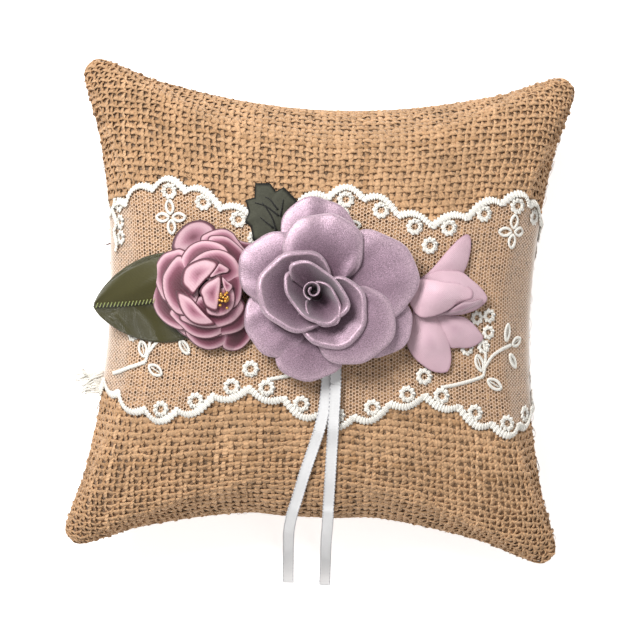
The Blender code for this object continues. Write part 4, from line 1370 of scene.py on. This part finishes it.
# name, frame petal it stands for, level, fade, tint, outline in millimetres from the pillow's middle
CAMELLIA_PETALS = (
    ("back_top", "outer_petal_1", 0, 0.35, 0.3, (
        (-44.7, 16.4), (-44.6, 19.0), (-43.3, 21.7), (-41.3, 23.8), (-38.9, 25.1), (-36.2, 25.5),
        (-34.0, 24.8), (-32.1, 23.3), (-32.2, 20.3), (-35.3, 16.9), (-39.0, 15.4), (-42.3, 15.6),
    )),
    ("back_right", "outer_petal_2", 0, 0.8, 0.42, (
        (-25.8, 19.8), (-23.1, 19.5), (-20.3, 18.9), (-19.3, 16.5), (-20.7, 14.3), (-23.4, 14.7),
        (-26.2, 16.8),
    )),
    ("low_left", "outer_petal_3", 1.0, 0.9, 0.5, (
        (-50.2, 6.3), (-50.4, 2.8), (-49.8, -0.4), (-48.5, -3.0), (-46.2, -5.3), (-43.5, -6.8),
        (-40.4, -7.5), (-37.6, -5.2), (-38.3, -1.2), (-42.5, 2.6), (-47.2, 5.4),
    )),
    ("bottom", "outer_petal_4", 0, 0.9, 0.5, (
        (-39.7, -8.3), (-37.9, -10.6), (-35.7, -12.2), (-33.0, -13.0), (-30.6, -12.7), (-28.2, -11.6),
        (-26.4, -9.9), (-27.4, -6.2), (-30.7, -3.6), (-35.6, -3.3), (-38.7, -5.3),
    )),
    ("bottom_right", "outer_petal_5", 0, 0.9, 0.4, (
        (-28.5, -11.7), (-27.1, -12.9), (-24.9, -13.0), (-22.8, -12.2), (-21.0, -10.5), (-19.9, -8.5),
        (-20.4, -5.6), (-22.6, -3.5), (-25.8, -4.2), (-27.8, -7.5),
    )),
    ("left", "middle_petal_1", 1.8, 0.9, 0.52, (
        (-41.9, 16.7), (-44.1, 16.3), (-47.1, 15.1), (-49.0, 12.7), (-49.7, 9.8), (-49.5, 6.8),
        (-48.1, 3.4), (-46.1, 0.8), (-42.7, 0.5), (-38.8, 4.1), (-38.0, 9.5), (-39.2, 14.8),
    )),
    ("upper_right", "middle_petal_2", 1, 0.9, 0.48, (
        (-36.3, 20.2), (-34.2, 21.9), (-31.3, 23.0), (-28.9, 23.1), (-26.7, 22.0), (-25.3, 20.3),
        (-23.6, 18.2), (-21.7, 15.8), (-22.1, 13.1), (-25.2, 10.8), (-29.2, 10.6), (-33.3, 13.7),
        (-35.6, 17.0),
    )),
    ("second_right", None, 1.6, 0.9, 0.5, (
        (-33.9, 20.3), (-31.0, 21.1), (-28.3, 20.7), (-25.8, 19.1), (-23.3, 16.9), (-22.0, 14.9),
        (-22.5, 11.4), (-25.7, 9.7), (-30.0, 11.1), (-33.4, 15.8),
    )),
    ("low_second", "middle_petal_3", 1.5, 0.9, 0.54, (
        (-44.8, -2.2), (-43.2, -4.4), (-41.0, -6.3), (-38.8, -8.2), (-36.1, -9.4), (-32.9, -9.7),
        (-30.0, -8.9), (-27.6, -7.2), (-27.2, -4.2), (-30.6, -1.2), (-36.5, 0.2), (-41.8, -0.0),
    )),
    ("right_low", "middle_petal_4", 1.3, 0.9, 0.48, (
        (-31.3, -8.8), (-28.1, -8.5), (-24.9, -7.7), (-22.3, -6.2), (-21.0, -3.7), (-21.4, -1.1),
        (-23.2, 1.3), (-26.4, 1.7), (-29.5, -0.6), (-31.5, -4.4),
    )),
    ("left_second", None, 2.5, 0.8, 0.52, (
        (-42.4, 14.8), (-44.2, 13.4), (-45.7, 11.2), (-47.0, 8.7), (-47.2, 6.1), (-46.6, 2.9), (-45.5, 0.6),
        (-43.9, -1.5), (-41.7, -3.1), (-38.3, -2.6), (-35.8, 2.8), (-36.6, 8.7), (-39.5, 13.3),
    )),
    ("low_ring", None, 2.2, 0.8, 0.52, (
        (-41.6, -4.0), (-38.9, -5.6), (-34.9, -6.7), (-31.2, -6.7), (-27.8, -5.8), (-24.9, -4.3),
        (-22.5, -1.4), (-22.2, 1.0), (-24.7, 3.8), (-29.5, 4.2), (-35.3, 2.9), (-39.9, -0.5),
    )),
    ("top_ring", "inner_petal_1", 2.6, 0.8, 0.56, (
        (-42.0, 10.5), (-42.0, 13.2), (-41.1, 15.4), (-39.4, 17.6), (-37.0, 19.0), (-34.7, 19.5),
        (-31.7, 19.2), (-29.0, 18.1), (-27.4, 15.9), (-27.7, 12.2), (-31.3, 8.9), (-36.6, 7.6),
        (-40.3, 8.2),
    )),
    ("inner_top", "inner_petal_2", 3.4, 0.8, 0.54, (
        (-39.9, 11.4), (-37.9, 13.9), (-35.1, 15.9), (-32.2, 16.8), (-29.8, 16.8), (-27.4, 15.9),
        (-25.2, 14.2), (-23.7, 11.6), (-23.3, 9.7), (-25.4, 7.0), (-29.6, 6.3), (-34.4, 7.7), (-38.2, 8.8),
    )),
    ("right_ring", None, 3.2, 0.7, 0.5, (
        (-26.1, 11.6), (-24.4, 11.0), (-23.4, 9.7), (-23.1, 6.6), (-23.2, 3.4), (-23.8, 1.2), (-25.6, -0.7),
        (-28.3, -0.5), (-30.0, 3.1), (-29.1, 7.9),
    )),
    ("low_crescent", None, 4.0, 0.7, 0.52, (
        (-33.3, -2.1), (-30.6, -3.0), (-28.3, -2.7), (-26.2, -1.3), (-25.1, 0.9), (-25.2, 4.1),
        (-26.3, 5.9), (-28.9, 5.8), (-31.5, 4.1), (-33.5, 1.3),
    )),
    ("low_point", "inner_petal_3", 4.6, 0.3, 0.56, (
        (-42.6, 4.0), (-40.4, 3.5), (-38.2, 2.4), (-36.0, 0.2), (-33.8, -2.1), (-32.2, -3.6), (-30.4, -5.3),
        (-32.1, -5.9), (-34.7, -6.0), (-37.4, -5.2), (-39.9, -3.1), (-41.5, -0.6), (-42.2, 1.5),
    )),
    ("high_left", None, 4.8, 0.3, 0.56, (
        (-40.9, 5.8), (-41.2, 7.9), (-40.7, 10.3), (-39.7, 11.6), (-37.6, 13.0), (-34.5, 14.1),
        (-31.9, 13.8), (-30.2, 12.8), (-31.2, 10.7), (-32.7, 8.8), (-34.2, 7.2), (-36.2, 4.7), (-37.7, 2.9),
        (-39.4, 4.3),
    )),
    ("wedge", None, 4.4, 0.35, 0.5, (
        (-30.4, 12.9), (-28.4, 12.1), (-26.9, 11.1), (-27.5, 10.0), (-29.3, 9.6), (-32.7, 8.2),
        (-32.7, 9.3), (-31.5, 10.9),
    )),
    ("bud_left", None, 5.4, 0.32, 0.54, (
        (-29.6, 9.3), (-31.6, 8.3), (-33.9, 6.8), (-35.5, 4.4), (-34.8, 2.3), (-33.9, 0.0), (-32.3, -1.2),
        (-30.4, -1.6), (-29.9, -0.4), (-29.5, 3.1), (-29.3, 6.3),
    )),
    ("bud_right", None, 5.2, 0.35, 0.54, (
        (-29.2, 8.8), (-27.4, 7.4), (-25.8, 6.1), (-26.5, 4.5), (-27.5, 3.9), (-28.6, 5.8),
    )),
)
CAMELLIA_MIDDLE, CAMELLIA_REACH, CAMELLIA_DOME = (-0.0352, 0.0056), (0.0172, 0.0222), 0.0070
LEVEL_STEP, CAMELLIA_LIFT, CAMELLIA_DROOP = 0.00085, 0.0012, 0.00045
# shares of the way from a petal's base to its rim, and what the colour is multiplied by there: deep painted
# shade towards the base where the petals overlap, and the petals' own dark maroon edge
CAMELLIA_SHADE_AND_EDGE = (
    (0.0, (0.07, 0.02, 0.03)), (0.46, (0.17, 0.06, 0.09)), (0.68, (0.30, 0.12, 0.18)),
    (0.79, (0.68, 0.47, 0.56)), (0.88, (1.04, 1.0, 1.02)), (0.936, (1.06, 1.03, 1.04)),
    (0.962, (0.22, 0.08, 0.12)), (1.0, (0.09, 0.03, 0.05)),
)
PETAL_WALL = 0.0003
CORE_REACH = (12.2, 16.0)
STAMENS, STAMEN_X, STAMEN_Y, GOLD = 22, (-0.0291, -0.0273), (0.0, 0.0039), linear(232, 180, 92)


def camellia_dome(x, y):
    """The height the petals lie on: the pillow's, plus a dome that falls as the square of the way out."""
    way_x = (x - CAMELLIA_MIDDLE[0]) / CAMELLIA_REACH[0]
    way_y = (y - CAMELLIA_MIDDLE[1]) / CAMELLIA_REACH[1]
    dome = CAMELLIA_DOME * np.maximum(0, 1 - (way_x**2 + way_y**2))
    return front_height(x, y) + BAND_TOP + GAP + CAMELLIA_LIFT + dome


class PILLOW_OT_camellia(Operator):
    """Builds the pink satin camellia: overlapping dark-edged petals round a slit bud with gold stamens"""

    bl_idname = "pillow.camellia"
    bl_label = "Camellia"

    def execute(self, context):
        colour = tuple(context.scene.pillow_colours.camellia)
        material = petal_material(
            "pink_satin", colour, CAMELLIA_SHADE_AND_EDGE, 0.10, 2200.0, rib=0.2, rib_pitch=0.035,
            Roughness=0.5, Specular_IOR_Level=0.4, Sheen_Weight=0.25,
        )
        for name, stands_for, level, fade, tint, outline in CAMELLIA_PETALS:

            def height(x, y):
                """The dome's height plus the petal's level."""
                return camellia_dome(x, y) + level * LEVEL_STEP

            build = Build()
            shield(build, outline, height, CAMELLIA_DROOP, fade, tint, skirt=0.0014)
            petal = wall(build.make(f"camellia_{name}", material), PETAL_WALL)
            if stands_for:
                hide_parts(f"camellia_{stands_for}")
        self.core(material)
        self.stamens()
        return {"FINISHED"}

    def core(self, material):
        """A dark oval under the petals that follows their dome: painted shade in the gaps between them."""
        turn = np.linspace(0, TAU, 24, endpoint=False)
        middle = np.array(CAMELLIA_MIDDLE) / MM
        oval = middle + np.stack([CORE_REACH[0] * np.cos(turn), CORE_REACH[1] * np.sin(turn)], -1)
        build = Build()
        # the steep fade gives nearly all of it the ramp's dark base, as painted shade
        shield(build, oval, lambda x, y: camellia_dome(x, y) - 0.0004, 0.0004, 2.0, skirt=0.0012)
        wall(build.make("camellia_shade_core", material), PETAL_WALL)

    def stamens(self):
        """Gold stamens: short stalks that lean a little each way, with a bell-shaped bead near each tip."""
        material, tree, shader = new_material("gold_bead", Metallic=0.85, Roughness=0.32)
        grain = use_group(
            tree, "cloth_speckle", {"Vector": object_of(tree)}, Colour=(*GOLD, 1),
            Grain_Scale=2500.0, Grain=0.3, Patch_Scale=600.0, Patches=0.3,
        )
        tree.links.new(grain.outputs[0], shader.inputs["Base Color"])
        bump(tree, shader, grain.outputs[1], 0.00005)
        rng = np.random.default_rng(SEED + 1)
        build = Build()
        t = np.linspace(0, 1, 7)[:, None]
        for _ in range(STAMENS):
            x0, y0 = rng.uniform(*STAMEN_X), rng.uniform(*STAMEN_Y)
            lean = rng.uniform(-0.0006, 0.0006, 2)
            foot = float(camellia_dome(np.array(x0), np.array(y0))) + 5 * LEVEL_STEP
            path = np.array([x0, y0, foot - 0.003]) + t * np.array([*lean, rng.uniform(0.0036, 0.0048)])
            bead = 0.00018 + 0.00050 * np.exp(-(((t[:, 0] - 0.93) / 0.09) ** 2))
            tubes(build, path, np.tile([1.0, 0.2, 0.0], (7, 1)), bead[None], bead[None], 6)
        obj = build.make("camellia_stamens", material)
        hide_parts("camellia_stamen")


def leaf_shape(v):
    """Half width along the leaf: powers of the way from the foot and to the tip."""
    return 2.10 * (v + 0.02) ** 0.42 * (1 - v) ** 0.72


# name, frame petal it stands for, lift and dome in millimetres, fade, tint, outline in millimetres
BLOOM_PETALS = (
    ("top", "bloom_petal_top", (0.4, 2.2), 0.35, 0.44, (
        (28.8, 10.3), (31.3, 12.4), (33.8, 15.2), (36.1, 18.2), (38.6, 21.2), (41.1, 23.7), (42.9, 24.7),
        (44.0, 23.5), (44.2, 20.6), (43.5, 16.5), (42.1, 12.9), (39.3, 9.6), (33.6, 7.8), (30.0, 8.0),
    )),
    ("low_right", "bloom_petal_low_right", (0.5, 1.6), 0.45, 0.46, (
        (31.7, 2.8), (34.4, 1.5), (38.6, 0.3), (42.7, 0.0), (45.7, -1.9), (47.8, -4.1), (49.1, -6.1),
        (47.4, -8.0), (44.8, -9.2), (41.9, -9.3), (39.0, -9.2), (36.2, -5.8), (33.4, -1.8),
    )),
    ("bottom", "bloom_petal_bottom", (1.0, 2.0), 0.4, 0.52, (
        (27.7, 1.5), (30.9, 1.9), (34.2, 0.6), (36.0, -2.3), (37.9, -5.1), (39.0, -8.6), (39.6, -12.4),
        (39.1, -15.9), (37.5, -16.9), (34.6, -16.7), (31.9, -15.4), (29.2, -13.4), (27.0, -10.7),
        (26.0, -7.4), (27.0, -4.4), (27.5, -1.5),
    )),
    ("right", "bloom_petal_right", (2.2, 2.4), 0.6, 0.5, (
        (30.5, 11.5), (33.9, 13.3), (37.4, 13.6), (41.5, 13.3), (44.2, 11.5), (47.2, 9.2), (49.2, 7.0),
        (49.6, 5.2), (47.5, 2.9), (44.6, 1.4), (40.9, 0.4), (36.2, 0.6), (32.2, 4.6), (30.0, 8.6),
    )),
    # the fold's low tint paints the shade inside the fold
    ("fold", None, (3.0, 2.4), 0.90, 0.16, (
        (34.5, 0.1), (37.3, 1.6), (39.6, 2.7), (42.5, 4.3), (45.4, 4.7), (48.1, 5.5), (47.5, 4.0),
        (44.6, 2.5), (40.9, 1.0), (37.4, 0.3),
    )),
    ("front", "bloom_petal_front", (4.0, 4.2), 0.4, 0.6, (
        (24.2, 7.5), (25.0, 9.8), (29.1, 10.6), (32.9, 10.5), (37.0, 10.0), (40.5, 9.9), (43.4, 9.2),
        (45.0, 8.0), (45.1, 6.3), (44.2, 5.3), (40.7, 4.1), (38.5, 2.2), (34.8, 0.2), (31.0, -0.7),
        (28.9, -0.2), (27.1, 2.0), (25.5, 4.9),
    )),
)


BLOOM_BELL, BLOOM_LIFT, BLOOM_DROOP = 0.0055, 0.6, 0.0006
# shares of the way from a petal's base to its rim, and what the colour is multiplied by there: painted shade
# towards the base, and darker at the very rim
BLOOM_PAINTED_SHADE = (
    (0.0, (0.62, 0.50, 0.56)), (0.5, (0.86, 0.80, 0.84)), (0.75, (1.02, 1.0, 1.01)),
    (0.97, (1.0, 0.96, 0.97)), (1.0, (0.72, 0.60, 0.66)),
)


class PILLOW_OT_bloom(Operator):
    """Builds the pale silk bloom that lies on its side, half under the rose"""

    bl_idname = "pillow.bloom"
    bl_label = "Silk bloom"

    def execute(self, context):
        material = petal_material(
            "pale_silk", tuple(context.scene.pillow_colours.bloom), BLOOM_PAINTED_SHADE, 0.05, 2600.0, rib=0.25,
            rib_pitch=0.020, Roughness=0.62, Specular_IOR_Level=0.3, Sheen_Weight=0.35,
        )
        for name, stands_for, (lift, dome), fade, tint, outline in BLOOM_PETALS:
            middle = np.mean(outline, axis=0) * MM

            def height(x, y):
                """The pillow's height plus the lift, and a bell about the petal's middle."""
                bell = np.exp(-((x - middle[0]) ** 2 + (y - middle[1]) ** 2) / BLOOM_BELL**2)
                return front_height(x, y) + BAND_TOP + GAP + (lift + BLOOM_LIFT + dome * bell) * MM

            build = Build()
            shield(build, outline, height, BLOOM_DROOP, fade, tint, skirt=0.0010)
            petal = wall(build.make(f"bloom_{name}", material), PETAL_WALL)
            if stands_for:
                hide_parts(*((stands_for, "bloom_throat") if name == "front" else (stands_for,)))
        return {"FINISHED"}


LEAF_TIP, LEAF_FOOT, LEAF_HALF = np.array((-0.0682, -0.0016)), np.array((-0.0340, 0.0040)), 0.0132
LEAF_FLOOR, LEAF_CUP = (0.0505, 0.0385), 0.0010
LEAF_LENGTH = float(np.linalg.norm(LEAF_FOOT - LEAF_TIP))
LEAF_ALONG = (LEAF_TIP - LEAF_FOOT) / LEAF_LENGTH
LEAF_ASIDE = np.array([-LEAF_ALONG[1], LEAF_ALONG[0]])
LEAF_ACROSS, LEAF_UP, FLAP_ACROSS, FLAP_UP = 33, 41, 17, 35
LEAF_STITCHES, LEAF_STITCH_COLOUR = 22, linear(176, 186, 116)
DARK_GREEN, DARK_EDGE, VEIN_COLOUR = linear(66, 66, 55), linear(22, 22, 20), linear(30, 30, 26)
DARK_LEAF_LIFT, VEIN_OVER = 0.0028, 0.0029


class PILLOW_OT_leaves(Operator):
    """Builds the folded olive satin leaf with its stitches, and the toothed dark leaf with its veins"""

    bl_idname = "pillow.leaves"
    bl_label = "Leaves"

    def execute(self, context):
        colour = tuple(context.scene.pillow_colours.leaf)
        satin = satin_material(
            "olive_satin", colour, 0.10, 0.0007, Roughness=0.27, Specular_IOR_Level=0.6, Sheen_Weight=0.1
        )
        self.satin_leaf(satin)
        self.dark_leaf()
        return {"FINISHED"}

    def satin_leaf(self, material):
        """Two folds that meet near the leaf's middle line: an upper flap over a lower one, with slanting
        stitches."""
        s, v = np.meshgrid(np.linspace(-1, 1, LEAF_ACROSS), np.linspace(0, 1, LEAF_UP), indexing="ij")
        x, y = self.leaf_plan(s * LEAF_HALF * leaf_shape(v), v)
        cup = LEAF_CUP * s * s * np.sin(math.pi * v) ** 0.7
        build = Build()
        uv = np.stack([s * 0.5 + 0.5, v * 0.9], -1)
        quads = grid_quads(LEAF_ACROSS, LEAF_UP, flip=True)
        build.add(np.stack([x, y, self.leaf_height(x, y, v, cup)], -1), quads, uv)
        leaf = wall(build.make("satin_leaf_cloth", material), 0.0004)
        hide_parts("satin_leaf")
        self.flap(material)
        self.stitches()

    def flap(self, material):
        """The upper fold: it swells by a sine of the way across, with a finer sine of wrinkles on it."""
        s, v = np.meshgrid(np.linspace(0, 1, FLAP_ACROSS), np.linspace(0.25, 0.985, FLAP_UP), indexing="ij")
        sweep = -s * LEAF_HALF * 0.97 * leaf_shape(v) + 0.0010 * np.sin(math.pi * v)
        x, y = self.leaf_plan(sweep, v)
        swell = 0.0018 * np.sin(math.pi * np.clip(1 - s, 0, 1)) * (1 - 0.5 * v)
        z = self.leaf_height(x, y, v) + 0.0007 + 0.0006 * v + swell
        z = z + 0.00030 * np.sin(7 * s + 9 * v) * np.sin(math.pi * s)
        build = Build()
        build.add(np.stack([x, y, z], -1), grid_quads(FLAP_ACROSS, FLAP_UP), np.stack([s, v], -1) * 0.02)
        fold = wall(build.make("satin_leaf_fold", material), 0.0003)

    def stitches(self):
        """Slanting stitches along the middle line."""
        thread = embroidery_material("leaf_stitches", LEAF_STITCH_COLOUR)
        slant = LEAF_ASIDE * 0.0007 + LEAF_ALONG * 0.0004
        build = Build()
        for k in range(LEAF_STITCHES):
            at = 0.30 + 0.66 * k / (LEAF_STITCHES - 1)
            middle = LEAF_FOOT + (LEAF_TIP - LEAF_FOOT) * at
            middle = middle + LEAF_ASIDE * (0.0010 * math.sin(math.pi * at) - 0.0004)
            line = np.linspace(middle + slant, middle - slant, 5)
            z = self.leaf_height(line[:, 0], line[:, 1], np.full(5, at)) + 0.0019
            tubes(build, np.column_stack([line, z]), np.tile(UPWARDS, (5, 1)), 0.00014, 0.00014, 5)
        build.make("satin_leaf_stitches", thread)

    def leaf_plan(self, aside, v):
        """x and y at a share v of the way from foot to tip and a distance aside from the middle line."""
        x = LEAF_FOOT[0] + LEAF_ALONG[0] * LEAF_LENGTH * v + LEAF_ASIDE[0] * aside
        y = LEAF_FOOT[1] + LEAF_ALONG[1] * LEAF_LENGTH * v + LEAF_ASIDE[1] * aside
        return x, y

    def leaf_height(self, x, y, v, cup=0.0):
        """The leaf cloth's height: the pillow's or the bridging line's, whichever is higher, plus a quadratic
        along it, less the cup."""
        bridge = LEAF_FLOOR[0] + (LEAF_FLOOR[1] - LEAF_FLOOR[0]) * v
        lift = 0.0010 * (1 - v) ** 2 + 0.0068 * v * (1 - v) + 0.0020 * v * v - cup
        return np.maximum(front_height(x, y), bridge) + np.maximum(lift, BAND_TOP + 0.0002)

    def dark_leaf(self):
        """A toothed leaf with near-black edges, and dark veins laid over it as thin tubes that fade out."""
        material, tree, shader = new_material("dark_leaf_cloth", Roughness=0.75, Specular_IOR_Level=0.25)
        parts = node(tree, "ShaderNodeSeparateXYZ", {0: uv_of(tree)})
        stops = [(0.0, DARK_GREEN), (0.86, DARK_GREEN), (0.95, DARK_EDGE), (1.0, DARK_EDGE)]
        shade = colour_ramp(tree, parts.outputs[1], stops)
        speckle = use_group(
            tree, "cloth_speckle", {"Vector": object_of(tree), "Colour": shade},
            Grain_Scale=1600.0, Grain=0.30, Patch_Scale=260.0, Patches=0.30,
        )
        tree.links.new(speckle.outputs[0], shader.inputs["Base Color"])
        bump(tree, shader, speckle.outputs[1], 0.00015)
        build = Build()
        shield(
            build, DARK_LEAF_OUTLINE, lambda x, y: front_height(x, y) + DARK_LEAF_LIFT, 0.0012, 1.0,
            skirt=0.0004, sharp=True,
        )
        leaf = wall(build.make("dark_leaf_felt", material), 0.0004)
        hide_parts("dark_leaf")
        veins = Build()
        for points in DARK_LEAF_VEINS:
            path = smooth_path(np.array(points) * MM, 20)
            high = front_height(path[:, 0], path[:, 1]) + VEIN_OVER
            fade = (0.00016 + 0.00022 * np.linspace(1, 0, 20))[None]
            tubes(veins, np.column_stack([path, high]), np.tile(UPWARDS, (20, 1)), fade, fade, 5)
        thread = embroidery_material("vein_thread", VEIN_COLOUR)
        veins.make("dark_leaf_veins", thread)


# outline and veins of the dark leaf, in millimetres across the pillow
DARK_LEAF_OUTLINE = (
    (-17.2, 17.51), (-20.72, 20.1), (-21.57, 23.93), (-23.45, 25.45), (-22.44, 28.36), (-23.59, 32.04),
    (-20.89, 32.89), (-20.9, 37.26), (-16.44, 37.35), (-14.61, 34.97), (-12.3, 36.39), (-10.5, 34.69),
    (-8.03, 32.33), (-9.14, 28.32), (-11.76, 23.43), (-14.75, 18.75),
)
DARK_LEAF_VEINS = (
    ((-14.03, 23.34), (-15.56, 27.37), (-18.46, 31.35)),
    ((-13.53, 27.68), (-17.28, 30.26), (-20.64, 31.26)),
    ((-13.83, 29.49), (-16.23, 32.35), (-17.72, 33.11)),
    ((-12.93, 27.48), (-12.5, 30.23), (-12.32, 32.61)),
    ((-14.97, 23.98), (-17.32, 25.7), (-18.96, 27.0)),
)


# ------------------------------------------------------------------ ribbons


def on_pillow(points, lift, first_lift=None):
    """Route points (x, y) raised to the pillow's surface plus lift."""
    p = np.array(points)
    lifts = np.full(len(p), lift)
    if first_lift is not None:
        lifts[0] = first_lift
    return np.column_stack([p, front_height(p[:, 0], p[:, 1]) + lifts])


# the ribbon's section: shares of its half width, and heights in millimetres
RIBBON_SECTION = (-1.0, -0.93, -0.84, -0.4, 0.4, 0.84, 0.93, 1.0, 0.93, 0.84, 0.4, -0.4, -0.84, -0.93)
SECTION_HEIGHTS = (0.0, 0.19, 0.10, 0.09, 0.09, 0.10, 0.19, 0.0, -0.19, -0.10, -0.09, -0.09, -0.10, -0.19)
PICOT_PITCH, PICOT_REACH, PICOT_INSET = 0.00085, 0.00014, 0.00015


def strip(build, path):
    """A ribbon: a thin flat section carried along the path, with a bead along each edge that swells and
    shrinks by a sine of the length like the loops of a picot edge. Gives its length."""
    n = len(path)
    tangent = unit(np.gradient(path, axis=0))
    side = unit(np.cross(tangent, np.tile(UPWARDS, (n, 1))))
    flip = np.sign(side[:, :1])
    side = side * np.where(flip == 0, 1, flip)
    up = unit(np.cross(side, tangent))
    up = up * np.where(up[:, 2:] < 0, -1, 1)
    run = np.concatenate([[0], np.cumsum(np.linalg.norm(np.diff(path, axis=0), axis=1))])
    picot = PICOT_REACH * np.sin(TAU * run / PICOT_PITCH)
    half = RIBBON_WIDTH / 2 - PICOT_INSET
    u, w = np.array(RIBBON_SECTION), np.array(SECTION_HEIGHTS) * MM
    reach = u[None] * (half + picot[:, None] * (np.abs(u[None]) > 0.9))
    ring = path[:, None] + side[:, None] * reach[..., None] + up[:, None] * w[None, :, None]
    k = len(u)
    uv = np.stack(np.broadcast_arrays(run[:, None], u[None]), -1)
    quads = grid_quads(n, k, close_cols=True)
    centre = np.mean(ring[0], axis=0)
    outward = np.cross(ring[1, 0] - ring[0, 0], ring[0, 1] - ring[0, 0])
    if np.dot(outward, ring[0, 0] - centre) < 0:
        quads = quads[:, ::-1]
        caps = [np.arange(k)[None, ::-1], ((n - 1) * k + np.arange(k))[None]]
    else:
        caps = [np.arange(k)[None], ((n - 1) * k + np.arange(k))[None, ::-1]]
    build.add(ring, [quads, *caps], uv)
    return run[-1]


class PILLOW_OT_ribbons(Operator):
    """Lays the folded satin ribbon under the rose and its two free tails down over the pillow's edge"""

    bl_idname = "pillow.ribbons"
    bl_label = "Ribbons"

    def execute(self, context):
        material = satin_material(
            "white_satin", tuple(context.scene.pillow_colours.ribbon), 0.05, 0.0005, picot=0.0013,
            Roughness=0.38, Specular_IOR_Level=0.5, Sheen_Weight=0.25,
        )
        upper = on_pillow((RIGHT_OVER_BAND[0], *FOLD_UPPER), RIBBON_HIGH)
        turn = on_pillow([FOLD_TURN], (RIBBON_LOW + RIBBON_HIGH) / 2)
        lower = on_pillow((*FOLD_LOWER, LEFT_OVER[0]), RIBBON_LOW)
        build = Build()
        strip(build, smooth_path(np.concatenate([upper, turn, lower]), 120))
        fold = build.make("ribbon_fold_strip", material)
        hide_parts("ribbon_fold")
        left = np.concatenate([on_pillow(LEFT_OVER, RIBBON_BARE, RIBBON_LOW), np.array(LEFT_DOWN)])
        right_over = on_pillow(RIGHT_OVER_BAND, RIBBON_HIGH), on_pillow(RIGHT_OVER, RIBBON_BARE)
        right = np.concatenate([*right_over, np.array(RIGHT_DOWN)])
        for side, points in (("left", left), ("right", right)):
            path = smooth_path(points, 260)
            build = Build()
            length = strip(build, path)
            name = f"ribbon_tail_{side}"
            tail = build.make(f"{name}_strip", material, body=name)
            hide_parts(name)
        return {"FINISHED"}


FELT_COLOUR, MAROON = linear(150, 120, 130), linear(86, 40, 44)
THREAD_END_FROM, THREAD_END_REACH = (-0.0636, 0.0170, 0.0262), (-0.0038, 0.0012, 0.0008)


class PILLOW_OT_finish(Operator):
    """Gives the felt discs under the flowers their finish and adds the dark thread end at the left seam"""

    bl_idname = "pillow.finish"
    bl_label = "Discs and thread end"

    def execute(self, context):
        felt = satin_material("felt", FELT_COLOUR, 0.3, 0.001, Roughness=0.95)
        for name in ("rose_backing_disc", "camellia_backing_disc"):
            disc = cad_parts[name]
            disc.data.materials.clear()
            disc.data.materials.append(felt)
        thread = embroidery_material("maroon_thread", MAROON)
        t = np.linspace(0, 1, 14)[:, None]
        path = np.array(THREAD_END_FROM) + t * THREAD_END_REACH + np.sin(t * 6) * (0, 0.0005, 0.0003)
        build = Build()
        tubes(build, path, np.tile(UPWARDS, (14, 1)), 0.00038 * (1.1 - t[:, 0])[None], 0.00038, 6)
        build.make("thread_end", thread)
        return {"FINISHED"}


class PILLOW_PT_panel(Panel):
    """The pillow's sizes, colours and builders"""

    bl_idname = "PILLOW_PT_panel"
    bl_label = "Ring Bearer Pillow"
    bl_space_type = "VIEW_3D"
    bl_region_type = "UI"
    bl_category = "Pillow"

    def draw(self, context):
        layout = self.layout
        for group in (context.scene.pillow_sizes, context.scene.pillow_colours):
            box = layout.box()
            for name in group.__annotations__:
                box.prop(group, name)
        for operator in BUILDERS:
            layout.operator(operator.bl_idname)


BUILDERS = (
    PILLOW_OT_stage,
    PILLOW_OT_ribbons,
    PILLOW_OT_cushion,
    PILLOW_OT_burlap,
    PILLOW_OT_lace,
    PILLOW_OT_rose,
    PILLOW_OT_camellia,
    PILLOW_OT_bloom,
    PILLOW_OT_leaves,
    PILLOW_OT_finish,
)
CLASSES = (PillowSizes, PillowColours, *BUILDERS, PILLOW_PT_panel)


def register():
    """Makes the sizes, colours, builders and panel known to Blender."""
    for cls in CLASSES:
        bpy.utils.register_class(cls)
    bpy.types.Scene.pillow_sizes = PointerProperty(type=PillowSizes)
    bpy.types.Scene.pillow_colours = PointerProperty(type=PillowColours)


def unregister():
    """Takes them away again."""
    del bpy.types.Scene.pillow_colours
    del bpy.types.Scene.pillow_sizes
    for cls in reversed(CLASSES):
        bpy.utils.unregister_class(cls)


def main():
    """Builds every piece in order."""
    register()
    GROUPS.update(cloth_speckle=speckle_group(), thread_twist=twist_group(), net_mesh=net_group())
    bpy.ops.pillow.stage()
    bpy.ops.pillow.ribbons()
    bpy.ops.pillow.cushion()
    bpy.ops.pillow.burlap()
    bpy.ops.pillow.lace()
    bpy.ops.pillow.rose()
    bpy.ops.pillow.camellia()
    bpy.ops.pillow.bloom()
    bpy.ops.pillow.leaves()
    bpy.ops.pillow.finish()


if __name__ == "__main__":
    main()
